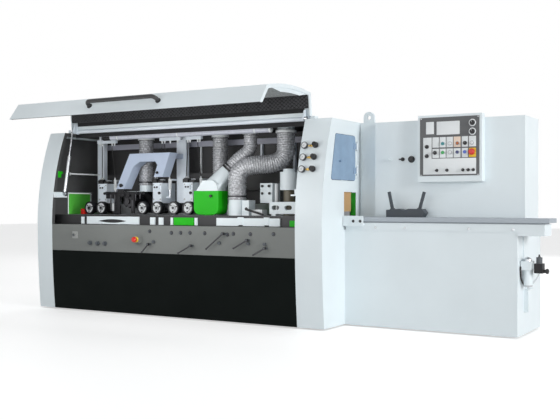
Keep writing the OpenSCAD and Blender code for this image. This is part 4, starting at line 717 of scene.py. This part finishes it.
def make_panel():
    """White fields, display, dial rings, lens caps and pointers on the control fascia."""
    fields = bmesh.new()
    peach = bmesh.new()
    add_plate(peach, rect(*FIELDS[PEACH_FIELD], *ROW_1), FIELD_Y, FASCIA_Y)
    piece("lamp_field", peach, PEACH)
    for i, (x0, x1) in enumerate(FIELDS):
        if i != PEACH_FIELD:
            add_plate(fields, rect(x0, x1, *ROW_1), FIELD_Y, FASCIA_Y)
        if i != STOP_FIELD:
            add_plate(fields, rect(x0, x1, *ROW_2), FIELD_Y, FASCIA_Y)
    add_plate(fields, CORNER_FIELD, FIELD_Y, FASCIA_Y)
    add_plate(fields, rect(*UPPER_FIELD), FIELD_Y, FASCIA_Y)
    dial = [(19.5, 0), (19.5, 3), (21, 4.5), (26, 4.5), (28, 2.5), (28, 0)]
    for x, z in DIALS:
        add_ring(fields, at(x, FASCIA_Y, z), -Y, dial, 40)
    piece("panel_fields", fields, PLATE)

    yellow = bmesh.new()
    add_plate(yellow, rect(*FIELDS[STOP_FIELD], *ROW_2, 5.0), FASCIA_Y - 1.6, FASCIA_Y)
    add_ring(yellow, at(4030, FASCIA_Y - 1.6, 1371), -Y, [(7, 0), (7, 0.8), (21, 0.8), (22, 0)], 36)
    piece("panel_stop_field", yellow, YELLOW)

    display = bmesh.new()
    add_plate(display, rect(3742, 3942, 1501, 1617, 4.0), FASCIA_Y - 1.5, FASCIA_Y, 0.6)
    piece("display_bezel", display, FASCIA)
    glass = bmesh.new()
    add_plate(glass, rect(3750, 3934, 1508, 1610, 3.0), FASCIA_Y - 2.6, FASCIA_Y - 1.4, 0.4)
    piece("display_plate", glass, PLATE)

    caps = {}
    for x, z, look in LAMPS:
        bm = caps.setdefault(look.name, (look, bmesh.new()))[1]
        base = at(x, FASCIA_Y - 9, z)
        add_turned(bm, base, -Y, [(11.5, 0), (11.5, 1.5), (10.5, 3), (8, 4.2), (4, 4.8)], 28)
    for name, (look, bm) in caps.items():
        piece("lens_" + name, bm, look)
    rims = bmesh.new()
    loop = [(13.1, 0), (13.1, 7), (14, 8), (16, 8), (17, 6), (17, 0)]
    for x, z, _ in LAMPS:
        add_ring(rims, at(x, FASCIA_Y, z), -Y, loop, 32)
    piece("lens_rims", rims, ZINC)
    marks = bmesh.new()
    near, far = POINTER_Y
    for x, z in SELECTORS:
        add_box(marks, (x - 0.9, near, z + 1), (x + 0.9, far, z + 8), 0.2)
        colour_control(x, z, 19, PLASTIC)
    for x, z in DIALS:
        add_box(marks, (x - 1, near, z + 3), (x + 1, far, z + 14), 0.2)
        colour_control(x, z, 21, PLASTIC)
    piece("selector_marks", marks, WHITE)
    for x, z in KEYS:
        colour_control(x, z, 18, ZINC)
    screws = bmesh.new()
    head = [(4.5, 0), (4.5, 1.6), (3.6, 2.6), (1.5, 2.6), (1.2, 1.2)]
    for x in (3622, 4077):
        for z in (1199, 1636):
            add_turned(screws, at(x, FASCIA_Y, z), -Y, head, 16)
    piece("fascia_screws", screws, ZINC)


# The bowed front above and below its foremost line
BULGE_Z = 790.0
TOP_IN = 170.0
TOP_UP = 860.0
FOOT_IN = 38.0
UPPER_R = (TOP_IN ** 2 + TOP_UP ** 2) / (2 * TOP_IN)
LOWER_R = (FOOT_IN ** 2 + BULGE_Z ** 2) / (2 * FOOT_IN)


def front_y(z):
    """Depth of the bowed front at a height."""
    r = UPPER_R if z > BULGE_Z else LOWER_R
    return r - math.sqrt(r * r - (z - BULGE_Z) ** 2)


def front_normal(z):
    """Outward direction of the bowed front at a height."""
    r = UPPER_R if z > BULGE_Z else LOWER_R
    s = (z - BULGE_Z) / r
    return Vector((0, -math.sqrt(1 - s * s), s))


# On the bowed front: gauges, the strip's stop, and its adjusters as places along and up from the bulge
GAUGE_X = 2832
GAUGE_ROWS = (1429.0, 1336.0, 1243.0)
STOP_X = 1230
STOP_Z = 669.0
STOP_BOX = 40.5
ADJUSTERS = ((1347, -49), (1582, -58), (1680, -56), (1777, -55), (1928, -56), (2154, -63), (2213, -55),
             (2376, -56), (2593, -52))


def make_gauges():
    """Dial faces, ticks, needles and glass rims of the gauges, and their brass fittings."""
    faces, rims, marks = bmesh.new(), bmesh.new(), bmesh.new()
    for row, z in enumerate(GAUGE_ROWS):
        n = front_normal(z)
        base = at(GAUGE_X, front_y(z), z) + n * 0.0279
        u, v = X, n.cross(X).normalized()
        add_turned(faces, base, n, [(22.5, 0), (22.5, 0.6), (22, 0.9)], 36)
        add_ring(rims, base, n, [(22.6, -1), (22.6, 2.5), (24, 3.5), (26, 3), (27.3, 1), (27.3, -1)], 40)
        for k in range(11):
            a = math.radians(225 - 27 * k)
            d = u * math.cos(a) - v * math.sin(a)
            add_tube(marks, [base + n * 0.0011 + d * 0.0165, base + n * 0.0011 + d * 0.0205], 0.6, 6)
        a = math.radians(150 - 35 * row)
        d = u * math.cos(a) - v * math.sin(a)
        add_tube(marks, [base + n * 0.0015 - d * 0.004, base + n * 0.0015 + d * 0.015], 0.8, 6)
        add_turned(marks, base + n * 0.0008, n, [(2.6, 0), (2.6, 1.2), (1.8, 1.8)], 16)
        y = front_y(z)
        recolour("pressure_gauges", BRASS, (2860, y - 90, z - 25), (2903, y + 30, z + 25))
        recolour("pressure_gauges", PLASTIC, (2903, y - 90, z - 35), (2970, y + 30, z + 35))
    piece("gauge_faces", faces, PLATE)
    piece("gauge_rims", rims, DARK_STEEL)
    piece("gauge_marks", marks, PLASTIC)


def make_strip():
    """Yellow collar of the strip's stop, adjuster bushes, and the tones of a box and a plate."""
    recolour("strip_controls", STRIP, (1190, -60, 630), (1270, 20, 708))
    recolour("strip_controls", TAG, (440, -20, 655), (518, 30, 735))
    collar = bmesh.new()
    y = front_y(STOP_Z) - STOP_BOX
    add_ring(collar, at(STOP_X, y, STOP_Z), -Y, [(8, 0), (8, 11), (22, 11), (25, 8), (25, 0)], 36)
    piece("strip_stop_collar", collar, YELLOW)
    bushes = bmesh.new()
    for x, dz in ADJUSTERS:
        z = BULGE_Z + dz
        add_ring(bushes, at(x, front_y(z), z), -Y, [(9.2, 0), (9.2, 4), (15, 4), (17, 2), (17, 0)], 28)
    piece("adjuster_bushes", bushes, DARK_STEEL)


# Feed units: middles of their risers, roller axes, and depth and offset of the cylinders in machine mm
UNITS = (386.0, 1050.0, 1407.0)
ROLLERS = (276.0, 426.0, 930.0, 1100.0, 1290.0, 1453.0)
ROLLER_Z = 941.0
CYLINDER_Y = 560.0
CYLINDER_OFF = 82.0


def make_units():
    """Bright roller faces, pale risers over cases painted black as shade round the rollers, and valve
    boxes, knobs and bolts on them.
    """
    for i, x in enumerate(ROLLERS):
        node = "feed_roller_%d" % (i + 1)

        def ring(lo, hi):
            return lambda c, n: n.y < -0.9 and lo < math.hypot(c.x - x, c.z - ROLLER_Z) < hi

        tint(node, PLATE, ring(24, 47))
        tint(node, ZINC, ring(12.5, 24))
        bolts = bmesh.new()
        for k in range(3):
            a = math.radians(120 * k + 20)
            place = at(x + 35 * math.cos(a), 404, ROLLER_Z + 35 * math.sin(a))
            add_turned(bolts, place, -Y, [(6, 0), (6, 4), (5, 5.2), (2.5, 5.2), (2.5, 2.5)], 16)
        piece("roller_screws_%d" % (i + 1), bolts, DARK_STEEL, node)
    for i, u in enumerate(UNITS):
        body = "feed_unit_%d" % (i + 1)
        # The cases below the risers take black paint: painted shade round the rollers
        tint(body, DARK, lambda c, n: c.z < 986)

        def on_rod(c, n):
            return c.z > 1040 and abs(c.y - CYLINDER_Y) < 9 and abs(abs(c.x - u) - CYLINDER_OFF) < 9

        tint(body, STEEL, on_rod)
        dark = bmesh.new()
        add_box(dark, (u - 66, 474, 1171.5), (u - 10, 536, 1206), 4)
        add_box(dark, (u - 58, 480, 1205), (u - 20, 530, 1214), 3)
        add_box(dark, (u + 4, 480, 1171.5), (u + 62, 532, 1196), 4)
        for x in (u - 14, u + 14):
            add_knob(dark, at(x, 456.5, 1132), -Y, 8)
        add_knob(dark, at(u + 34, 470.5, 1078), -Y, 13)
        piece("valve_boxes_%d" % (i + 1), dark, PLASTIC, body)
        pale = bmesh.new()
        for x in (u - 52, u - 36, u - 24):
            add_turned(pale, at(x, 505, 1213.5), Z, [(5, 0), (5, 6), (3.5, 8), (3.5, 16), (2.5, 17)], 14)
        for x in (u + 16, u + 34, u + 50):
            add_turned(pale, at(x, 505, 1195.5), Z, [(5, 0), (5, 5), (3.5, 7), (3.5, 13), (2.5, 14)], 14)
        for x in (u - 40, u + 40):
            add_bolt(pale, at(x, 470.2, 1020), -Y, 8)
            add_bolt(pale, at(x, 470.2, 1155), -Y, 7)
        piece("unit_fittings_%d" % (i + 1), pale, ZINC, body)
        for s in (-1, 1):
            x = u + s * CYLINDER_OFF
            near, far = CYLINDER_Y - 18, CYLINDER_Y + 18
            recolour("overhead_frame", PLATE, (x - 18, near, 1109), (x + 18, far, 1211))


# Under the roof: axis of the lamp, nipples of the manifold, and the lines that run down to the cylinders
LAMP_Y = 345
LAMP_Z = 1598
MANIFOLD_Y = 470
LINE_END_Y = 553
NIPPLES = (350, 380, 505, 535, 1110, 1140, 1205, 1290, 1405, 1430, 1515, 1540)
AIR_LINES = ((380, 304), (505, 468), (1110, 968), (1140, 1132), (1405, 1325), (1515, 1489))


def make_overhead():
    """Lamp, air lines, wall bars and collar rims under the roof, and the tones of what lies round them,
    with painted shade on the chamber's back wall, a beam, the roof's front edge and the bed's front.
    """
    # The chamber's back wall and the beam before it take the darker grey: painted shade deep in the work
    # space
    recolour("chamber_lining", REAR_SHADE, (150, 795, 880), (2840, 825, 1640))
    tint("overhead_frame", REAR_SHADE, lambda c, n: 1100 < c.z < 1264 and c.y < 700 and n.y < -0.9 and c.y > 678)
    recolour("overhead_frame", RAIL, (140, 745, 1512), (2850, 801, 1568))
    # The roof's front edge and underside are painted dark: painted shadow in the gap under the roof
    tint("rear_casing", DARK, lambda c, n: c.y < 320 and c.z > 1605)
    tint("rear_casing", LINING, lambda c, n: n.z < -0.9 and c.z > 1640)
    recolour("overhead_frame", TUBE, (510, 322, 1587), (2270, 368, 1633))
    tint("left_end_panel", LINING, lambda c, n: n.x > 0.9 and 150 < c.x < 200 and c.z > 800)
    tint("right_end_panel", LINING, lambda c, n: n.x < -0.9 and 2750 < c.x < 2800 and c.z > 800)
    tube = bmesh.new()
    add_turned(tube, at(600, LAMP_Y, LAMP_Z), X, [(20, 0), (23, 3), (23, 1745), (20, 1748)], 28)
    piece("lamp_diffuser", tube, TUBE)
    caps = bmesh.new()
    add_turned(caps, at(2346, LAMP_Y, LAMP_Z), X, [(18, 0), (24.5, 2), (24.5, 18), (22, 20)], 28)
    for x in (690, 1390, 2206):
        add_ring(caps, at(x - 7, LAMP_Y, LAMP_Z), X, [(23.2, 0), (25, 0.6), (25, 13.4), (23.2, 14)], 28)
    piece("lamp_caps", caps, PLATE)
    holder = bmesh.new()
    add_turned(holder, at(511, LAMP_Y, LAMP_Z), X, [(20, 0), (25, 2), (25, 88), (22, 92)], 28)
    piece("lamp_holder", holder, DARK)
    nipples, lines = bmesh.new(), bmesh.new()
    profile = [(9, 0), (9, 9), (6.5, 11), (6.5, 24), (5, 26)]
    for x in NIPPLES:
        add_turned(nipples, at(x, MANIFOLD_Y, 1558.4), -Z, profile, 16)
    for x, end in AIR_LINES:
        high, low = at(x, MANIFOLD_Y, 1536), at(end, LINE_END_Y, 1222)
        route = bend(high, Vector((0, 0, -0.3)), low, Vector((0, 0, -0.25)), 20)
        add_tube(lines, route, 4, 10)
        add_turned(nipples, at(end, LINE_END_Y, 1209.5), Z, [(8, 0), (8, 7), (6, 9), (6, 20), (5, 21)], 16)
    piece("air_nipples", nipples, PLATE)
    piece("air_lines", lines, PLASTIC)
    bars = bmesh.new()
    add_box(bars, (1312, 784, 1261), (1328, 799, 1516), 2)
    add_box(bars, (193, 215, 1258), (206, 633, 1271), 4)
    add_box(bars, (186.5, 218, 1252), (194, 240, 1277), 2)
    piece("wall_bars", bars, PLATE)
    clip = bmesh.new()
    add_box(clip, (186.5, 76, 1226), (195, 112, 1284), 3)
    add_box(clip, (186.5, 108, 1262), (200, 128, 1282), 3)
    piece("wall_clip", clip, GREEN)
    # The bed's front between the edge plates takes dark iron: painted shade in the gaps
    tint("bed", GAP_SHADE_IRON, lambda c, n: n.y < -0.9 and c.y < 110)
    collars = bmesh.new()
    for _, _, top, _, r, _, _ in HOSES:
        loop = [(r + 6, 0), (r + 15, 0), (r + 16, 2), (r + 16, 22), (r + 6, 24)]
        add_ring(collars, at(top.x, top.y, 1578), Z, loop, 40)
    piece("collar_rims", collars, PLATE)


# Top of the bed, on which blocks and a stop stand, in machine mm
BED_TOP = 880.0


def make_top_head():
    """Black chip breaker and shoes round the top head, hung from the arch, and two blocks on the bed."""
    recolour("top_spindle", DARK_STEEL, (690, 380, 930), (830, 720, 1070))
    dark = bmesh.new()
    add_box(dark, (510, 362, 1066), (980, 383, 1092), 4)
    add_box(dark, (664, 364, 1088), (736, 381, 1122), 3)
    add_box(dark, (512, 372, 1028), (606, 452, 1084), 6)
    add_box(dark, (640, 364, 900), (690, 382, 1070), 4)
    add_box(dark, (604, 364, 886), (690, 382, 906), 4)
    add_box(dark, (828, 364, 890), (864, 382, 1070), 4)
    add_box(dark, (700, 352, 1040), (812, 363, 1086), 4)
    add_box(dark, (592, 384, BED_TOP - 0.5), (620, 432, 914), 3)
    for x, z, r in ((545, 1079, 15), (640, 1079, 12), (905, 1079, 15), (960, 1079, 12)):
        add_knob(dark, at(x, 362.5, z), -Y, r)
    add_knob(dark, at(756, 352.5, 1062), -Y, 17)
    add_knob(dark, at(722, 360.5, 1150), -Y, 17)
    add_knob(dark, at(1146, 360.5, 1262), -Y, 13)
    piece("chip_breaker", dark, DARK)
    rods = bmesh.new()
    for x, z0, z1 in ((575, 912, 1070), (625, 906, 1068), (876, 1010, 1068), (930, 1022, 1068)):
        add_turned(rods, at(x, 372, z0), Z, [(6, 0), (7, 2), (7, z1 - z0)], 14)
    add_box(rods, (832, 358, 915), (858, 364.5, 1012), 2)
    piece("shoe_rods", rods, DARK_STEEL)
    pale = bmesh.new()
    add_box(pale, (568, 384, 912), (640, 440, 984), 4)
    piece("stop_block", pale, PLATE)
    red = bmesh.new()
    add_box(red, (172, 392, BED_TOP - 0.5), (210, 446, 932), 4)
    piece("outfeed_block", red, RED)


# Infeed end: front faces of the apron and of the table's end block, and the air unit's bowl in machine mm
APRON_Y = 385.0
END_BLOCK_Y = 353.0
BOWL = (4456, 502)


def make_infeed():
    """Tones of air unit, switches and door straps, and the bolts of the table's end block and apron."""
    recolour("air_service_unit", DARK, (4505, 440, 470), (4600, 560, 548))
    recolour("air_service_unit", SLATE, (4505, 440, 548), (4600, 560, 600))
    recolour("air_service_unit", PLASTIC, (4571, 440, 470), (4600, 560, 548))
    recolour("electrical_cabinet", PLASTIC, (3410, 555, 1310), (3540, 593.5, 1350))
    unit = bmesh.new()
    add_turned(unit, at(4588, 495, 490), X, [(13, -1), (18, 2), (20, 9), (18, 16), (12, 20)], 24)
    start, end = at(4418, 449.5, 520), at(4448, 478, 386)
    add_tube(unit, bend(start, Vector((-0.01, -0.03, -0.1)), end, Vector((0.12, 0, 0.01)), 18), 6)
    add_turned(unit, at(4540, 495, 588), Z, [(10, 0), (10, 6), (6, 8), (6, 20), (4, 22)], 16)
    piece("air_unit_knobs", unit, PLASTIC)
    ends = bmesh.new()
    start, end = at(*BOWL, 386), at(4540, 495, 474)
    add_tube(ends, bend(start, Vector((0, 0, -0.12)), end, Vector((0.06, 0, 0.16)), 20), 4)
    add_turned(ends, at(*BOWL, 559), Z, [(30, 0), (29, 12), (24, 22), (14, 28), (4, 30)], 28)
    add_turned(ends, at(*BOWL, 386), -Z, [(36, 0), (32, 10), (20, 16), (7, 17), (7, 26), (4, 27)], 28)
    piece("air_unit_bowl_ends", ends, ZINC)
    tint("window_door", PANEL, lambda c, n: c.y > 585)
    bolts = bmesh.new()
    for x in (3296, 3542, 4050, 4380):
        add_bolt(bolts, at(x, APRON_Y - 0.1, 791), -Y, 9)
    piece("apron_bolts", bolts, ZINC)
    bolts = bmesh.new()
    for x in (3118, 3178):
        add_bolt(bolts, at(x, END_BLOCK_Y - 0.1, 840), -Y, 10)
    piece("table_bolts", bolts, PLASTIC)
    knob = bmesh.new()
    profile = [(27, 0), (27, 8), (24, 12), (21, 14), (20.5, 28), (15, 31)]
    add_turned(knob, at(3514, 593.8, 1330), -Y, profile, 28)
    piece("main_switch_knob", knob, PLASTIC)


# Duct of the chip chute: middle and half sizes of its square foot, and radius and lead of its round end
DUCT_FOOT = Vector((1809, 260, 1088))
DUCT_HALF = (108, 62)
DUCT_R = 60.0
DUCT_LEAD = 8
DUCT_SIDES = 32


def make_duct():
    """Tapered duct from its square foot to the round end that takes the chute's hose."""
    u, v = side_axes(CHUTE_DIR)
    turn = [2 * math.pi * k / DUCT_SIDES for k in range(DUCT_SIDES)]
    ways = [u * math.cos(t) + v * math.sin(t) for t in turn]
    low = []
    for d in ways:
        reach = 1 / max(abs(d.x) / DUCT_HALF[0], abs(d.y) / DUCT_HALF[1], 1e-6)
        low.append(DUCT_FOOT + Vector((d.x, d.y, 0)) * reach)
    top = CHUTE_HEAD - CHUTE_DIR * DUCT_LEAD
    end = [top + d * DUCT_R for d in ways]
    waist = [p.lerp(q, 0.45) + Vector((0, 0, 8)) for p, q in zip(low, end)]
    rings = [low, [p + Vector((0, 0, 16)) for p in low], waist, end]
    duct = bmesh.new()
    made = [[duct.verts.new(at(*p)) for p in ring] for ring in rings]
    join_rings(duct, made)
    duct.faces.new(made[0])
    duct.faces.new(made[-1])
    piece("chute_duct", duct, PANEL)


def make_cluster():
    """Hose ring of the chute, and the small fittings round the infeed side guide and press block."""
    recolour("infeed_side_guide", OLIVE, (2490, 275, 881), (2600, 385, 1089))
    dark = bmesh.new()
    loop = [(52.5, -6), (64, -6), (66, -4), (66, 8), (64, 10), (52.5, 10)]
    add_ring(dark, at(*CHUTE_HEAD), CHUTE_DIR, loop, 40)
    add_knob(dark, at(1861, 189.5, 1044), -Y, 13)
    for x, z in ((2250, 1128), (2318, 1128), (2250, 1066), (2322, 1066)):
        add_knob(dark, at(x, 389.5, z), -Y, 11)
    start, end = at(2206, 214, 929), at(2352, 232, 884)
    add_tube(dark, bend(start, Vector((0.05, 0, -0.01)), end, Vector((0.06, 0, -0.03)), 10), 9)
    add_knob(dark, at(2206, 214, 935), -Y, 13)
    piece("cluster_knobs", dark, PLASTIC)
    stop = bmesh.new()
    profile = [(18, 0), (18, 8), (7, 10), (7, 112), (15, 114), (17, 120), (17, 262), (13, 268)]
    add_turned(stop, at(2370, 420, BED_TOP - 0.4), Z, profile, 24)
    add_box(stop, (2226, 250, BED_TOP - 0.4), (2330, 330, 930), 5)
    piece("cluster_stop", stop, PLATE)


# Doors on the back: left, right, foot, top and the face that carries them in machine mm, with their louvres
DOORS = [(60 + 735 * k, 760 + 735 * k, 110, 1560, 1180) for k in range(4)]
DOORS += [(3236, 4372, 916, 1648, 980), (3072, 4362, 70, 730, 1052)]
LOUVRES = 7
LOUVRE_PITCH = 30
LOUVRE_HALF = 160


def make_back():
    """Doors with louvres, hinges and locks, corner plates, and bolts round the outfeed opening."""
    doors, fittings = bmesh.new(), bmesh.new()
    for x0, x1, z0, z1, y in DOORS:
        add_box(doors, (x0, y - 0.4, z0), (x1, y + 2.4, z1), 1.2)
        middle = (x0 + x1) / 2
        for k in range(LOUVRES):
            z = z1 - 90 - LOUVRE_PITCH * k
            add_tube(doors, [at(middle - LOUVRE_HALF, y + 2, z), at(middle + LOUVRE_HALF, y + 2, z)], 7, 12)
        for z in (z0 + 0.2 * (z1 - z0), z0 + 0.8 * (z1 - z0)):
            add_tube(fittings, [at(x0 - 1, y + 4, z - 35), at(x0 - 1, y + 4, z + 35)], 7, 14)
            lock = at(x1 - 32, y + 2.3, z)
            add_turned(fittings, lock, Y, [(15, 0), (15, 3), (12, 5), (6, 5), (6, 9), (4, 10)], 24)
    for x0, x1 in ((4, 187.5), (2785.5, 3020)):
        add_box(doors, (x0, 1175.5, 1614), (x1, 1179.8, 1649), 1)
    piece("rear_doors", doors, PANEL)
    for y in (384, 713):
        for z in (836, 964, 1093):
            add_bolt(fittings, at(0.2, y, z), -X, 8)
    piece("rear_fittings", fittings, DARK_STEEL)


def seen_ray(tree):
    """1 for rays that the camera, a mirror or a pane sends out, else 0."""
    path = tree.nodes.new("ShaderNodeLightPath")
    value = path.outputs["Is Camera Ray"]
    for other in ("Is Glossy Ray", "Is Transmission Ray"):
        either = tree.nodes.new("ShaderNodeMath")
        either.operation = "MAXIMUM"
        tree.links.new(value, either.inputs[0])
        tree.links.new(path.outputs[other], either.inputs[1])
        value = either.outputs[0]
    return value


def make_stage():
    """Plain pale floor, soft lamps, a white surround and the camera."""
    mesh = bpy.data.meshes.new("floor")
    mesh.from_pydata([(-30, -30, 0), (30, -30, 0), (30, 30, 0), (-30, 30, 0)], [], [(0, 1, 2, 3)])
    floor = bpy.data.objects.new("floor", mesh)
    bpy.context.collection.objects.link(floor)
    mat, tree, bsdf, place = new_shader("floor_white", 0.6)
    cloud = ramp(tree, noise(tree, place, 0.6, 3), 0.3, 0.7)
    tree.links.new(mixed(tree, cloud, (0.70, 0.71, 0.71), (0.74, 0.74, 0.74)), bsdf.inputs["Base Color"])
    bsdf.inputs["Emission Color"].default_value = (1, 1, 1, 1)
    tree.links.new(ramp(tree, seen_ray(tree), 0, 1, 0, 0.5), bsdf.inputs["Emission Strength"])
    mesh.materials.append(mat)

    world = bpy.data.worlds.new("studio")
    bpy.context.scene.world = world
    world.use_nodes = True
    tree = world.node_tree
    light = tree.nodes["Background"]
    light.inputs["Color"].default_value = (0.96, 0.98, 1, 1)
    light.inputs["Strength"].default_value = 0.24
    seen = tree.nodes.new("ShaderNodeBackground")
    seen.inputs["Color"].default_value = (1, 1, 1, 1)
    mix = tree.nodes.new("ShaderNodeMixShader")
    tree.links.new(seen_ray(tree), mix.inputs[0])
    tree.links.new(light.outputs[0], mix.inputs[1])
    tree.links.new(seen.outputs[0], mix.inputs[2])
    tree.links.new(mix.outputs[0], tree.nodes["World Output"].inputs["Surface"])

    middle = Vector((0, 0, 0.8))
    lamps = (("key", Vector((15.0, -3.8, 4.2)), middle, 5.0, 5.0, 1420),
             ("fill", Vector((-1.5, -9.0, 1.6)), middle, 6.0, 6.0, 140),
             ("front", Vector((4.0, -9.5, 2.2)), middle, 4.0, 4.0, 100),
             ("top", Vector((0.0, 0.5, 6.0)), middle, 5.0, 5.0, 90),
             ("back", Vector((-3.5, 9.0, 3.0)), middle, 5.0, 5.0, 240),
             ("work", at(1475, -1000, 1180), at(1475, 640, 1250), 2.0, 0.5, 9.0))
    for name, place, target, length, width, power in lamps:
        data = bpy.data.lights.new(name, "AREA")
        data.shape = "RECTANGLE"
        data.size = length
        data.size_y = width
        data.energy = power
        lamp = bpy.data.objects.new(name, data)
        lamp.location = place
        lamp.rotation_euler = (target - place).to_track_quat("-Z", "Y").to_euler()
        bpy.context.collection.objects.link(lamp)

    data = bpy.data.cameras.new("camera")
    data.lens = 55.72
    data.sensor_width = 36
    camera = bpy.data.objects.new("camera", data)
    camera.location = at(6123.8, -5852.1, 970)
    camera.rotation_euler = (math.radians(89.653), 0, math.radians(30.676))
    bpy.context.collection.objects.link(camera)
    bpy.context.scene.camera = camera
    bpy.context.scene.view_settings.view_transform = "Standard"


make_hoses()
make_lining()
make_hood_edges()
make_panel()
make_gauges()
make_strip()
make_units()
make_overhead()
make_top_head()
make_infeed()
make_duct()
make_cluster()
make_back()
make_stage()
